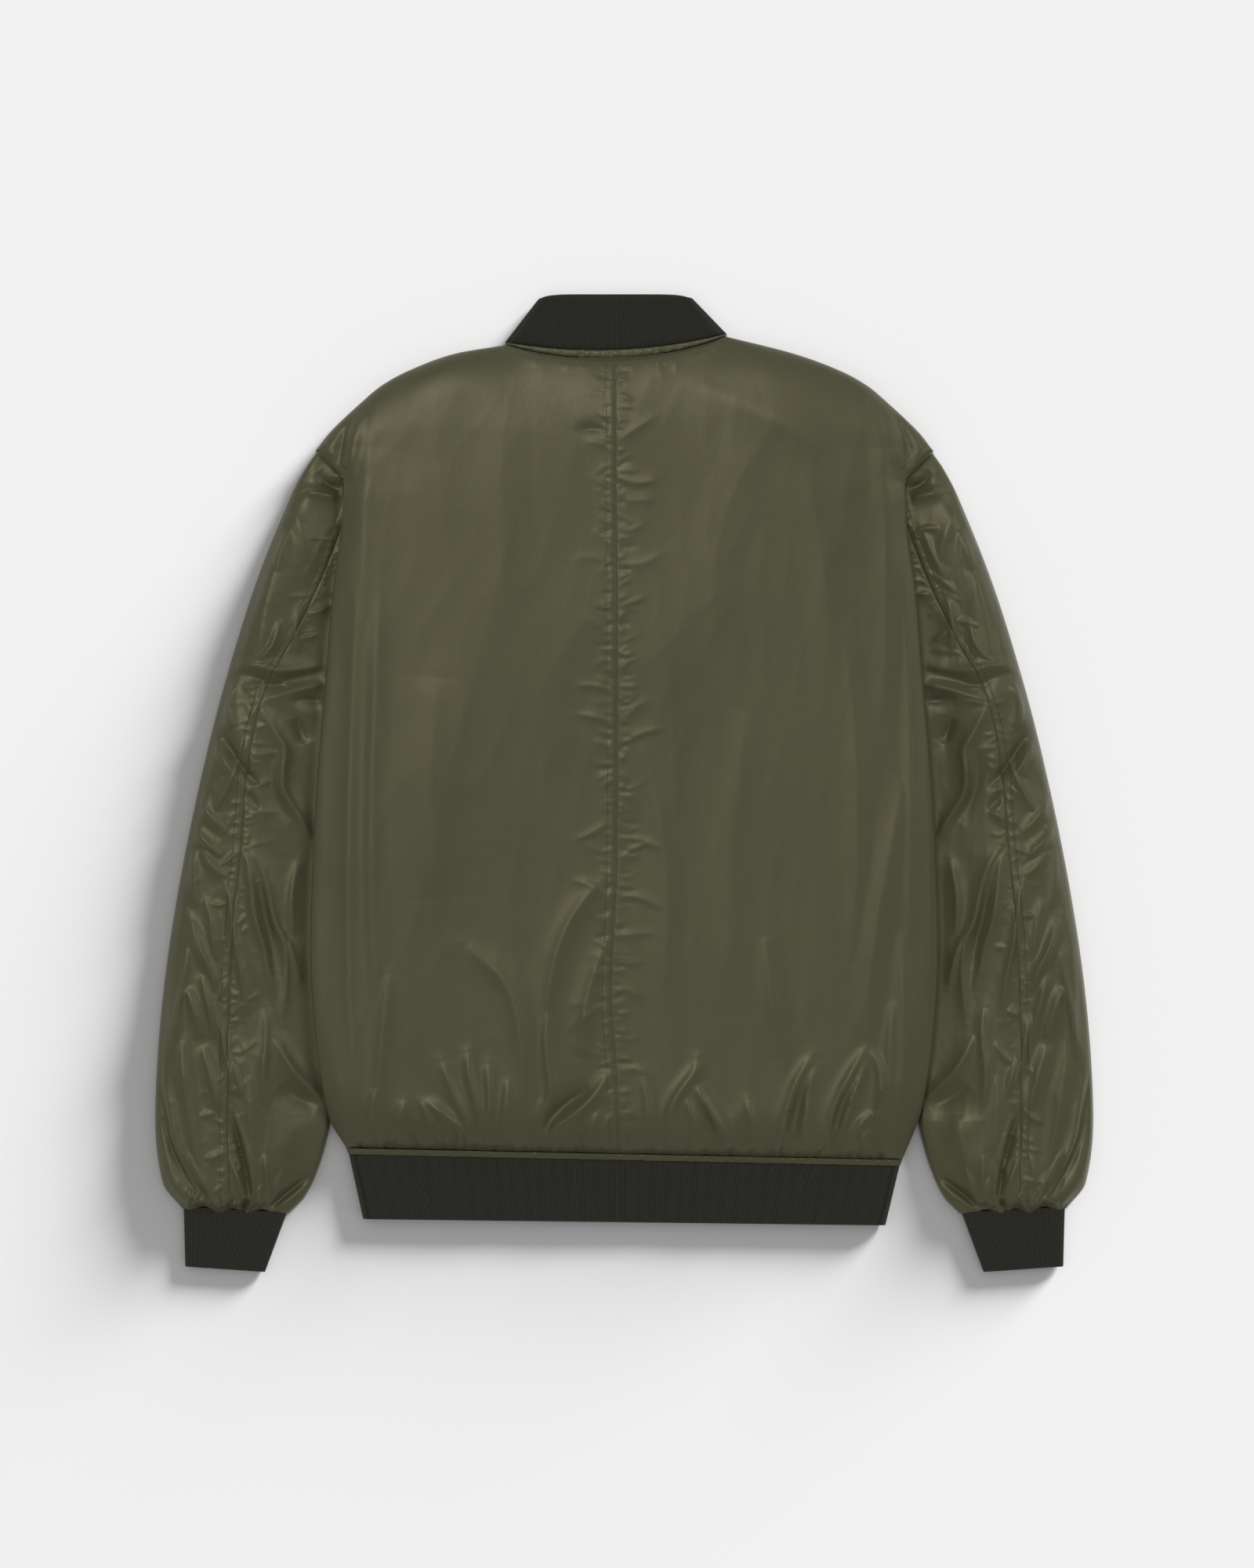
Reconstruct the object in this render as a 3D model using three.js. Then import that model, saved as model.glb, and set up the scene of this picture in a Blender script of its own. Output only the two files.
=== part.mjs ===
// Bomber jacket, zipped up and laid face down on a table. Sizes are millimetres.
// +X runs across the back to the right, +Y up the back to the collar, +Z off the table.
// The origin is on the table, under the middle of the jacket's outline.
// Fronts and lower sleeve layers lie on the table, the back lies on the fronts, and the
// sides of the body lie on the inner edges of the sleeves.
import * as THREE from "three";

// ---- gaps and heights above the table ------------------------------------------------
const SEAM_GAP = 0.3;
const CENTRE_GAP = 0.6;
const LAYER_GAP = 1.3;
const NECK_GAP = 0.6;
const SLEEVE_SLIT = 2;
const FRONT_SEAM_HEIGHT = 5.4;
const FRONT_CROWN = 9;
const BACK_FLOOR_SEAM = 7.3;
const BACK_FLOOR_CROWN = 10;
const BACK_EDGE_WALL = 1.8;
const BACK_SEAM_WALL = 3.2;
const BACK_CROWN_WALL = 15;
const SIDE_ROUND = 5;
const SIDE_PUFF = 14;
const BODY_PUFF = 95;
const HEM_PUFF = 42;
const NECK_PUFF = 60;
const SLEEVE_RIM = 5.5;
const SLEEVE_TUCK = 9.8;
const SLEEVE_CROWN = 22;
const SLEEVE_PUFF = 30;
const SLEEVE_TUCK_SPREAD = 52;
const SLEEVE_SLIT_SHARE = 0.46;
const SLEEVE_FOLD_WALL = 5;
const SLEEVE_FULL = {
  outerRound: 12, innerRound: 10,
  cuffReach: 34, cuffShare: 0.35,
  headReach: 60, headShare: 0.3,
};
const SLEEVE_CLEARANCE = { side: 0.8, underarm: 3.8, fromY: 195, toY: 230 };
const BODY_LIFT = 10.7;
const LIFT_SPREAD = 30;
const LIFT_SLACK = 1.07;
// Heights up the side between which the lift comes in above the hem and goes out at the underarm.
const LIFT_START = { from: -286, to: -238 };
const LIFT_END = { from: 256, to: 224 };
// Below this height the body's side turns in to the hem and no longer lies on the sleeve.
const SIDE_TURN_Y = -272;

// ---- neck, hem and centre lines -------------------------------------------------------
const NECK = { x: -7.2, y: 348.4, tilt: 0.037, bow: 0.00122 };
const NECK_BAND = { width: 6, endWidth: 1.5, taper: 2.5 };
const FRONT_NECK_BEND = 2.2;
const HEM = { y: -298, tilt: -0.021 };
const HEM_BAND = 5.2;
const HEM_BAND_WALL = 2.8;
const FRONT_EDGE = 4.6;
const FRONT_NECK_Y = 290;
const SIDES = [
  { name: "left", sign: -1, neckHalf: 96 },
  { name: "right", sign: 1, neckHalf: 82.5 },
];

// Shoulder edge, half width of the jacket at each height.
const SHOULDER = [
  { y: 267, half: 249 },
  { y: 283, half: 236.5 },
  { y: 308, half: 210 },
  { y: 321, half: 194 },
  { y: 333, half: 171.5 },
  { y: 346, half: 135.5 },
];

// Armhole seam, from the underarm side up to the shoulder edge.
const ARMHOLE = [
  { y: 244, half: 225.5 },
  { y: 254, half: 236 },
  { y: 267, half: 249 },
];

// Side of the body, where the back folds round to the front.
const SIDE = [
  { y: -272, half: 236.5 },
  { y: -246, half: 242 },
  { y: -208, half: 247.5 },
  { y: -143, half: 252 },
  { y: -60, half: 250 },
  { y: 11, half: 246 },
  { y: 75, half: 240.5 },
  { y: 152, half: 234.3 },
  { y: 206, half: 227 },
  { y: 244, half: 225.5 },
];
const HEM_HALF = 224;

// Centre back seam.
const CENTRE_BACK = [
  { y: -298, x: -3.8 },
  { y: -246, x: -5.4 },
  { y: -169, x: -10.2 },
  { y: -62, x: -6 },
  { y: 342, x: -7.2 },
];

// Sleeve: outer fold, seam on the back of the sleeve, and inner edge, part of it under the body.
const SLEEVE_OUTER = [
  { y: -343, half: 356 },
  { y: -322, half: 372 },
  { y: -259, half: 378 },
  { y: -133, half: 367 },
  { y: 18, half: 338 },
  { y: 144, half: 302.7 },
  { y: 233, half: 268 },
  { y: 267, half: 249.6 },
];
const SLEEVE_SEAM = [
  { y: -341, half: 317 },
  { y: -246, half: 317.8 },
  { y: -143, half: 315.7 },
  { y: -45, half: 307 },
  { y: 20, half: 301 },
  { y: 75, half: 288 },
  { y: 118, half: 265 },
  { y: 167, half: 242.5 },
  { y: 206, half: 227.5 },
  { y: 238, half: 217 },
];
const SLEEVE_INNER = [
  { y: -347, half: 270.6 },
  { y: -334, half: 258 },
  { y: -310, half: 246.6 },
  { y: -284, half: 239 },
  { y: -272, half: 237 },
  { y: -246, half: 238 },
  { y: -143, half: 233.5 },
  { y: 11, half: 219 },
  { y: 75, half: 209 },
  { y: 152, half: 200 },
  { y: 215, half: 205 },
  { y: 232, half: 212 },
];
const SLEEVE_TOP = { outerY: 266, innerY: 231.4, gap: 0.3 };
const SLEEVE_END = { outerY: -342, innerY: -346.5 };
const SLEEVE_HEAD = { y: 232, slope: 34, tuckFrom: 252, tuckTo: 205, tuckShare: 0.68 };

// Large folds: ridges have a height above 0 and troughs one below it.
const BACK_FOLDS = [
  { fromX: -112, fromY: -290, toX: -152, toY: -238, width: 13, height: 3 },
  { fromX: -85, fromY: -182, toX: -129, toY: -128, width: 16, height: 2.5 },
  { fromX: -68, fromY: -288, toX: -58, toY: -190, width: 13, height: 3 },
  { fromX: 58, fromY: -228, toX: 36, toY: -288, width: 12, height: 3 },
  { fromX: 58, fromY: -228, toX: 80, toY: -288, width: 12, height: 3 },
  { fromX: 118, fromY: -290, toX: 154, toY: -217, width: 14, height: 3 },
  { fromX: 195, fromY: -210, toX: 166, toY: -286, width: 13, height: 3 },
  { fromX: 200, fromY: -190, toX: 222, toY: 5, width: 14, height: 2.5 },
];
const SLEEVE_FOLDS = [
  { fromX: 316, fromY: 84, toX: 234, toY: 80, width: 9, height: -5 },
  { fromX: 300, fromY: 66, toX: 234, toY: 70, width: 8, height: 2.5 },
  { fromX: 292, fromY: 60, toX: 262, toY: -45, width: 11, height: 3 },
  { fromX: 345, fromY: 38, toX: 300, toY: -10, width: 10, height: -3.5 },
  { fromX: 300, fromY: -65, toX: 278, toY: -205, width: 12, height: 3 },
  { fromX: 374, fromY: -232, toX: 350, toY: -300, width: 11, height: -3 },
  { fromX: 306, fromY: -335, toX: 318, toY: -290, width: 9, height: -3 },
];

// ---- rib knit -------------------------------------------------------------------------
const RIB_WALL = 3.4;
const HEM_RIB = { topHalf: 221.7, bottomHalf: 210.4, bottomY: -353.2, tilt: -0.012 };
const COLLAR_RIB = { topLeft: -66.5, topRight: 52, topY: 393.6, frontTopY: 324, cornerDrop: 2.6 };
const CUFF = {
  stations: 20, topHeight: 10.4, endHeight: 8.4,
  topOuter: 355, topInner: 271.5, topOuterY: -342.6, topInnerY: -347.2,
  endOuter: 353.8, endInner: 289.5, endOuterY: -389.2, endInnerY: -393.6,
};

// ---- front zip ------------------------------------------------------------------------
const ZIP_TAPE = { inner: 4.2, outer: 15, bottom: 5.7, top: 6.5 };
const ZIP_CHAIN = { half: 3.9, bottom: 4.2, top: 6.8 };
const SLIDER = { half: 3.9, length: 11, bottom: 2.9, top: 7.9 };
const BRIDGE = { half: 1, leg: 1.4, length: 8, bottom: 0.6, bar: 0.8 };
const PULL = { half: 3.2, length: 30, bottom: 1.7, thick: 0.9, eyeHalf: 1.6, eyeBar: 1, eyeLength: 5.5 };

// ---- materials ------------------------------------------------------------------------
function finish(color, roughness, metalness) {
  return new THREE.MeshStandardMaterial({ color, roughness, metalness });
}
const SHELL = finish(0x4e4d3d, 0.5, 0);
const RIB = finish(0x2b2c27, 0.9, 0);
const TAPE = finish(0x33342b, 0.85, 0);
const METAL = finish(0x8d8a80, 0.35, 1);

// ---- small helpers --------------------------------------------------------------------
function mix(a, b, t) {
  return a + (b - a) * t;
}

function ease(from, to, value) {
  const t = Math.min(1, Math.max(0, (value - from) / (to - from)));
  return t * t * (3 - 2 * t);
}

// Rise of a rounded edge: 0 at the edge, 1 from the given distance inwards.
function puff(distance, reach) {
  const t = Math.min(1, Math.max(0, distance / reach));
  return Math.sqrt(1 - (1 - t) * (1 - t));
}

// Smooth curve through a table's rows, read at a height y: a cubic between each two rows.
function curve(table, column) {
  const slope = (i) => {
    const low = table[Math.max(0, i - 1)];
    const high = table[Math.min(table.length - 1, i + 1)];
    return (high[column] - low[column]) / (high.y - low.y);
  };
  return (y) => {
    let i = 0;
    while (i < table.length - 2 && y > table[i + 1].y) i += 1;
    const span = table[i + 1].y - table[i].y;
    const t = Math.min(1, Math.max(0, (y - table[i].y) / span));
    const a = table[i][column];
    const b = table[i + 1][column];
    const rise = slope(i) * span;
    const fall = slope(i + 1) * span;
    const square = t * t;
    const cube = square * t;
    return (2 * cube - 3 * square + 1) * a + (cube - 2 * square + t) * rise
      + (3 * square - 2 * cube) * b + (cube - square) * fall;
  };
}

function steps(from, to, count) {
  return Array.from({ length: count }, (_, i) => mix(from, to, i / count));
}

function foldHeight(folds, x, y) {
  let height = 0;
  for (const fold of folds) {
    const runX = fold.toX - fold.fromX;
    const runY = fold.toY - fold.fromY;
    const length = Math.hypot(runX, runY);
    const along = ((x - fold.fromX) * runX + (y - fold.fromY) * runY) / (length * length);
    const across = ((x - fold.fromX) * runY - (y - fold.fromY) * runX) / length;
    const ends = ease(-0.2, 0.25, along) * (1 - ease(0.7, 1.2, along));
    height += fold.height * ends * Math.exp(-((across / fold.width) ** 2));
  }
  return height;
}

// A wall of cloth. Each row is a list of [outer, inner] point pairs, and rows follow each other.
// The two skins, the ends of the rows and the first and last rows close it; a ring's rows join
// their own ends.
function wall(rows, ring = false) {
  const columns = rows[0].length;
  const positions = [];
  for (const row of rows) {
    for (const [outer, inner] of row) positions.push(...outer, ...inner);
  }
  const at = (r, c, side) => 2 * (r * columns + (c % columns)) + side;
  const index = [];
  const quad = (a, b, c, d) => index.push(a, b, c, a, c, d);
  const spans = ring ? columns : columns - 1;
  for (let r = 0; r < rows.length - 1; r += 1) {
    for (let c = 0; c < spans; c += 1) {
      quad(at(r, c, 0), at(r, c + 1, 0), at(r + 1, c + 1, 0), at(r + 1, c, 0));
      quad(at(r, c, 1), at(r + 1, c, 1), at(r + 1, c + 1, 1), at(r, c + 1, 1));
    }
    if (!ring) {
      quad(at(r, 0, 0), at(r + 1, 0, 0), at(r + 1, 0, 1), at(r, 0, 1));
      const last = columns - 1;
      quad(at(r, last, 0), at(r, last, 1), at(r + 1, last, 1), at(r + 1, last, 0));
    }
  }
  for (let c = 0; c < spans; c += 1) {
    quad(at(0, c, 0), at(0, c, 1), at(0, c + 1, 1), at(0, c + 1, 0));
    const end = rows.length - 1;
    quad(at(end, c, 0), at(end, c + 1, 0), at(end, c + 1, 1), at(end, c, 1));
  }
  if (signedVolume(positions, index) < 0) index.reverse();
  const geometry = new THREE.BufferGeometry();
  geometry.setAttribute("position", new THREE.Float32BufferAttribute(positions, 3));
  geometry.setIndex(index);
  geometry.computeVertexNormals();
  return geometry;
}

function signedVolume(positions, index) {
  const a = new THREE.Vector3();
  const b = new THREE.Vector3();
  const c = new THREE.Vector3();
  let volume = 0;
  for (let i = 0; i < index.length; i += 3) {
    a.fromArray(positions, 3 * index[i]);
    b.fromArray(positions, 3 * index[i + 1]);
    c.fromArray(positions, 3 * index[i + 2]);
    volume += a.dot(b.cross(c)) / 6;
  }
  return volume;
}

const jacket = new THREE.Group();
jacket.name = "bomber_jacket";

function add(name, geometry, material, parent = jacket) {
  const mesh = new THREE.Mesh(geometry, material);
  mesh.name = name;
  parent.add(mesh);
  return mesh;
}

// ---- outlines -------------------------------------------------------------------------
function neckLine(x) {
  const run = x - NECK.x;
  return NECK.y + NECK.tilt * run + NECK.bow * run * run;
}

function hemLine(x) {
  return HEM.y + HEM.tilt * x;
}

// Share of the half neck width from the middle out, on the side where x lies.
function neckShare(x) {
  if (x < NECK.x) return (NECK.x - x) / (NECK.x + SIDES[0].neckHalf);
  return (x - NECK.x) / (SIDES[1].neckHalf - NECK.x);
}

// Width of the neck band, narrower towards the neck points.
function neckBand(x) {
  return mix(NECK_BAND.width, NECK_BAND.endWidth, Math.min(1, neckShare(x)) ** NECK_BAND.taper);
}

// Neck seam across the fronts: low in the middle, rising to the neck points.
function frontNeckLine(x) {
  const side = x < 0 ? SIDES[0] : SIDES[1];
  const rise = neckLine(side.sign * side.neckHalf) - FRONT_NECK_Y;
  return FRONT_NECK_Y + rise * (Math.abs(x) / side.neckHalf) ** FRONT_NECK_BEND;
}

// Top of the body's panels, under the neck band.
function panelTop(line, x) {
  return line(x) - neckBand(x) - NECK_GAP;
}

for (const side of SIDES) side.neckY = panelTop(neckLine, side.sign * side.neckHalf);

const armhole = curve(ARMHOLE, "half");
const centreBack = curve(CENTRE_BACK, "x");
const sleeveOuter = curve(SLEEVE_OUTER, "half");
const sleeveSeam = curve(SLEEVE_SEAM, "half");
const sleeveInner = curve(SLEEVE_INNER, "half");
const sideLine = curve(SIDE, "half");

// Half width of the body at a height on one side: hem corner, side, armhole seam and shoulder.
function bodyOutline(side) {
  const hemY = hemLine(side.sign * HEM_HALF);
  const fold = curve([{ y: hemY, half: HEM_HALF }, ...SIDE], "half");
  const shoulder = curve([...SHOULDER, { y: side.neckY, half: side.neckHalf }], "half");
  return (y) => {
    if (y > SHOULDER[0].y) return shoulder(y);
    if (y > ARMHOLE[0].y) return armhole(y);
    return fold(y);
  };
}

// ---- heights of the layers ------------------------------------------------------------
// How far the sleeve under the side of the body lifts it, by height and distance from the side.
function liftAt(y, distance) {
  const overlap = Math.max(0, sideLine(Math.max(y, SIDE_TURN_Y)) - sleeveInner(y));
  const present = ease(LIFT_END.from, LIFT_END.to, y) * ease(LIFT_START.from, LIFT_START.to, y);
  return BODY_LIFT * present * (1 - ease(overlap, overlap + LIFT_SPREAD, distance));
}

// Fullness of the body, 0 at its seams and 1 in the middle of a panel.
function backRise(distance, hemDistance, neckDistance) {
  const side = 0.5 * puff(distance, SIDE_PUFF) + 0.5 * puff(distance, BODY_PUFF);
  return side * puff(hemDistance, HEM_PUFF) * mix(0.35, 1, puff(neckDistance, NECK_PUFF));
}

// Underside of the back layer: just over the fronts, and over the zip along the middle.
function backFloor(x, y, distance, rise) {
  const lift = liftAt(y, distance);
  const overFront = LIFT_SLACK * lift + mix(FRONT_SEAM_HEIGHT + LAYER_GAP, BACK_FLOOR_CROWN, rise);
  const overZip = mix(BACK_FLOOR_SEAM, BACK_FLOOR_CROWN, puff(y - hemLine(x), HEM_PUFF));
  return Math.max(overFront, overZip * ease(0, SIDE_PUFF, distance));
}

// Underside of the body over the sleeve, and no limit outside the body.
function bodyUnderside(x, y) {
  const distance = sideLine(y) - x;
  if (distance < -1 || y < SIDE_TURN_Y || y > ARMHOLE[0].y) return SLEEVE_CROWN;
  const { side, underarm, fromY, toY } = SLEEVE_CLEARANCE;
  const clearance = mix(side, underarm, ease(fromY, toY, y));
  return liftAt(y, distance) - clearance + SIDE_ROUND * (1 - puff(distance, SIDE_ROUND)) * 0.6;
}

// Share of a row's width after which it runs level.
const LEVEL_SHARE = 0.65;

// Rows of one body layer, from the hem up, each running from the middle out to the side.
// middle gives the inner end of the rows, and its topShape bends the rows near the neck.
function bodyRows(side, heights, columns, middle, point) {
  const outline = bodyOutline(side);
  const hemY = hemLine(side.sign * HEM_HALF);
  return heights.map((edgeY) => {
    const t = (edgeY - hemY) / (side.neckY - hemY);
    const centreY = mix(middle.bottomY, middle.topY, t);
    const startX = side.sign * middle.x(centreY);
    const edgeX = outline(edgeY);
    const slope = (outline(edgeY + 2) - outline(edgeY - 2)) / 4;
    return columns.map((s) => {
      const x = side.sign * mix(startX, edgeX, s);
      const level = mix(s, Math.min(1, s / LEVEL_SHARE), ease(0, 0.12, t));
      const y = mix(centreY, edgeY, mix(level, middle.topShape(s), ease(0.8, 1, t)));
      return point(x, y, (edgeX - Math.abs(x)) / Math.hypot(1, slope));
    });
  });
}

// Heights of the rows up the side: close together at the hem, the armhole and the shoulder.
function rowHeights(side, counts) {
  return [
    ...steps(hemLine(side.sign * HEM_HALF), SIDE_TURN_Y, counts.gathers),
    ...steps(SIDE_TURN_Y, -190, counts.hem),
    ...steps(-190, 200, counts.side),
    ...steps(200, 244, counts.underarm),
    ...steps(244, 267, counts.armhole),
    ...steps(267, 346, counts.shoulder),
    ...steps(346, side.neckY, 2),
    side.neckY,
  ];
}

// ---- body -----------------------------------------------------------------------------
const BODY_ROWS = { gathers: 3, hem: 4, side: 8, underarm: 3, armhole: 2, shoulder: 5 };
const BODY_COLUMNS = [0, 0.06, 0.14, 0.28, 0.42, 0.56, 0.69, 0.8, 0.88, 0.95, 1];

// Shape of a panel's top row, as a share of its rise from the middle to the neck point.
function topShape(side, line, startX) {
  const endX = side.sign * side.neckHalf;
  const low = panelTop(line, startX);
  return (s) => (panelTop(line, mix(startX, endX, s)) - low) / (panelTop(line, endX) - low);
}

function backPanel(side) {
  const middle = {
    x: (y) => centreBack(y) + side.sign * CENTRE_GAP / 2,
    bottomY: hemLine(centreBack(HEM.y)),
    topY: panelTop(neckLine, NECK.x),
    topShape: topShape(side, neckLine, NECK.x),
  };
  const rows = bodyRows(side, rowHeights(side, BODY_ROWS), BODY_COLUMNS, middle, (x, y, distance) => {
    const hemDistance = y - hemLine(x);
    const neckDistance = Math.abs(x) < 130 ? panelTop(neckLine, x) - y : NECK_PUFF;
    const rise = backRise(distance, hemDistance, neckDistance);
    const gathers = ease(0, 14, hemDistance) * ease(0, 20, distance);
    const base = backFloor(x, y, distance, rise);
    const seamWall = mix(BACK_EDGE_WALL, BACK_SEAM_WALL, ease(0, SIDE_PUFF, distance));
    const top = base + mix(seamWall, BACK_CROWN_WALL, rise) + foldHeight(BACK_FOLDS, x, y) * gathers;
    return [[x, y, top], [x, y, base]];
  });
  return wall(rows);
}

function frontPanel(side) {
  const middle = {
    x: () => side.sign * FRONT_EDGE,
    bottomY: hemLine(0),
    topY: panelTop(frontNeckLine, side.sign * FRONT_EDGE),
    topShape: topShape(side, frontNeckLine, side.sign * FRONT_EDGE),
  };
  const rows = bodyRows(side, rowHeights(side, BODY_ROWS), BODY_COLUMNS, middle, (x, y, distance) => {
    const rise = backRise(distance, y - hemLine(x), NECK_PUFF);
    const lift = liftAt(y, distance);
    const bottom = lift + (SIDE_ROUND - 0.6) * (1 - puff(distance, SIDE_ROUND));
    const crown = mix(FRONT_CROWN, FRONT_SEAM_HEIGHT, 1 - ease(18, 40, Math.abs(x)));
    return [[x, y, lift + mix(FRONT_SEAM_HEIGHT, crown, rise)], [x, y, bottom]];
  });
  return wall(rows);
}

for (const side of SIDES) {
  add(`back_${side.name}`, backPanel(side), SHELL);
  add(`front_${side.name}`, frontPanel(side), SHELL);
}

// ---- sleeves --------------------------------------------------------------------------
// The sleeve is a flattened tube of two pieces. The outer piece runs from the seam on top,
// round the outer fold to the seam underneath, and the under piece closes the inner side.
const SLEEVE_ROWS = { cuff: 3, fore: 7, elbow: 6, head: 4 };
const UNDER_SEAM_SHARE = 0.6;

function sleeveLevels() {
  const { cuff, fore, elbow, head } = SLEEVE_ROWS;
  return [
    ...steps(0, 0.07, cuff),
    ...steps(0.07, 0.55, fore),
    ...steps(0.55, 0.8, elbow),
    ...steps(0.8, 1, head),
    1,
  ];
}

function sleeveRow(level) {
  const outerY = mix(SLEEVE_END.outerY, SLEEVE_TOP.outerY, level);
  const innerY = mix(SLEEVE_END.innerY, SLEEVE_TOP.innerY, level);
  const outerX = sleeveOuter(outerY) - (level === 1 ? SLEEVE_TOP.gap : 0);
  const innerX = sleeveInner(innerY);
  let seam = 0.5;
  for (let i = 0; i < 4; i += 1) {
    seam = (outerX - sleeveSeam(mix(outerY, innerY, seam))) / (outerX - innerX);
  }
  return { outerX, outerY, innerX, innerY, width: outerX - innerX, seam };
}

// Top of the sleeve and middle of its tube at a point: low where the body lies on it, full
// between there and the fold.
function sleeveTop(row, u, x, y) {
  const fromOuter = u * row.width;
  const fromInner = (1 - u) * row.width;
  const tucked = ease(0, SLEEVE_TUCK_SPREAD, x - sideLine(y));
  const open = y < SIDE_TURN_Y ? ease(0, SLEEVE_TUCK_SPREAD, fromInner) : tucked;
  const fromHead = SLEEVE_HEAD.y - y + u * SLEEVE_HEAD.slope;
  const atCuff = mix(SLEEVE_FULL.cuffShare, 1, puff(y - SLEEVE_END.innerY, SLEEVE_FULL.cuffReach));
  const pinch = atCuff * mix(SLEEVE_FULL.headShare, 1, puff(fromHead, SLEEVE_FULL.headReach));
  const { tuckShare, tuckFrom, tuckTo } = SLEEVE_HEAD;
  const tuck = SLEEVE_TUCK * mix(tuckShare, 1, ease(tuckFrom, tuckTo, y));
  const full = mix(tuck, SLEEVE_CROWN, open * puff(fromOuter, SLEEVE_PUFF) * pinch);
  const round = puff(fromOuter, SLEEVE_FULL.outerRound) * puff(fromInner, SLEEVE_FULL.innerRound);
  const rounded = mix(SLEEVE_RIM, full, round);
  const fold = foldHeight(SLEEVE_FOLDS, x, y) * ease(0, 16, fromOuter) * open;
  const base = Math.min(rounded, bodyUnderside(x, y));
  return { top: base + fold, middle: base * SLEEVE_SLIT_SHARE };
}

function sleevePiece(side, part) {
  const levels = sleeveLevels();
  const rows = levels.map((level) => {
    const row = sleeveRow(level);
    const gap = SEAM_GAP / 2 / row.width;
    const slit = SLEEVE_FOLD_WALL / row.width;
    const place = (u) => {
      const x = mix(row.outerX, row.innerX, u);
      const y = mix(row.outerY, row.innerY, u);
      return { x: side.sign * x, y, ...sleeveTop(row, u, x, y) };
    };
    const edge = part === "outer" ? 0 : 1;
    const into = part === "outer" ? 1 : -1;
    const topSeam = row.seam - into * gap;
    const underSeam = UNDER_SEAM_SHARE - into * gap;
    const points = [];
    for (const share of [1, 0.72, 0.46, 0.24, 0.09]) {
      const p = place(mix(edge, topSeam, share));
      const q = place(edge + into * Math.max(Math.abs(mix(edge, topSeam, share) - edge), slit * 1.1));
      points.push([[p.x, p.y, p.top], [q.x, q.y, q.middle + SLEEVE_SLIT / 2]]);
    }
    const rim = place(edge);
    const end = place(edge + into * slit);
    points.push([[rim.x, rim.y, rim.middle], [end.x, end.y, end.middle]]);
    for (const share of [0.07, 0.4, 1]) {
      const p = place(mix(edge, underSeam, share));
      const q = place(edge + into * Math.max(Math.abs(mix(edge, underSeam, share) - edge), slit * 1.1));
      points.push([[p.x, p.y, 0], [q.x, q.y, q.middle - SLEEVE_SLIT / 2]]);
    }
    return points;
  });
  return wall(rows);
}

for (const side of SIDES) {
  add(`sleeve_outer_${side.name}`, sleevePiece(side, "outer"), SHELL);
  add(`sleeve_under_${side.name}`, sleevePiece(side, "under"), SHELL);
}

// ---- bands and ribs -------------------------------------------------------------------
const UPPER_SHARES = [-0.8, -0.6, -0.4, -0.2, 0, 0.2, 0.4, 0.6, 0.8];
const LOWER_SHARES = [0.35, 0.6, 0.8];

const FOLD_RUN = 6;

// Stations of a band from one front edge, round the left side, over the back, round the right
// side and to the other front edge. Shares run from -1 at the left fold to 1 at the right one.
function bandStations(frontShare, foldShare) {
  const lower = [frontShare, ...LOWER_SHARES, foldShare].map((share) => ({ layer: "lower", share: -share }));
  const upper = [-foldShare, ...UPPER_SHARES, foldShare].map((share) => ({ layer: "upper", share }));
  const mirrored = lower.map(({ layer, share }) => ({ layer, share: -share })).reverse();
  return [...lower, { layer: "fold", share: -1 }, ...upper, { layer: "fold", share: 1 }, ...mirrored];
}

// A band laid flat. place(share, level, layer) gives the x and y of a point, and its heights
// give the top of the upper layer at each level across the band's width.
function foldedBand(band, place) {
  const stations = bandStations(band.frontShare, 1 - FOLD_RUN / band.half);
  return wall(stations.map(({ layer, share }) => band.levels.map((level) => {
    const top = mix(band.baseTop, band.endTop, level);
    const [x, y] = place(share, level, layer);
    if (layer === "upper") return [[x, y, top], [x, y, top - band.wall]];
    if (layer === "lower") return [[x, y, 0], [x, y, band.wall]];
    return [[x, y, top / 2], [x - Math.sign(share) * 1.1 * band.wall, y, top / 2]];
  })));
}

function neckX(share, left, right) {
  return share < 0 ? mix(NECK.x, left, -share) : mix(NECK.x, right, share);
}

// Neck point of a share in either layer; the fronts' shares start at the zip.
function neckBase(share, layer) {
  if (layer !== "lower") return neckX(share, -SIDES[0].neckHalf, SIDES[1].neckHalf);
  return share * (share < 0 ? SIDES[0].neckHalf : SIDES[1].neckHalf);
}

const NECK_HALF = (SIDES[0].neckHalf + SIDES[1].neckHalf) / 2;
const NECK_FRONT_SHARE = 0.053;

const neckBandShape = foldedBand(
  {
    half: NECK_HALF, wall: RIB_WALL, frontShare: NECK_FRONT_SHARE, baseTop: 11.4, endTop: 11,
    levels: [0, 1],
  },
  (share, level, layer) => {
    const x = neckBase(share, layer);
    const line = layer === "lower" ? frontNeckLine : neckLine;
    return [x, line(x) - neckBand(x) * (1 - level)];
  },
);
add("neck_band", neckBandShape, SHELL);

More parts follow.
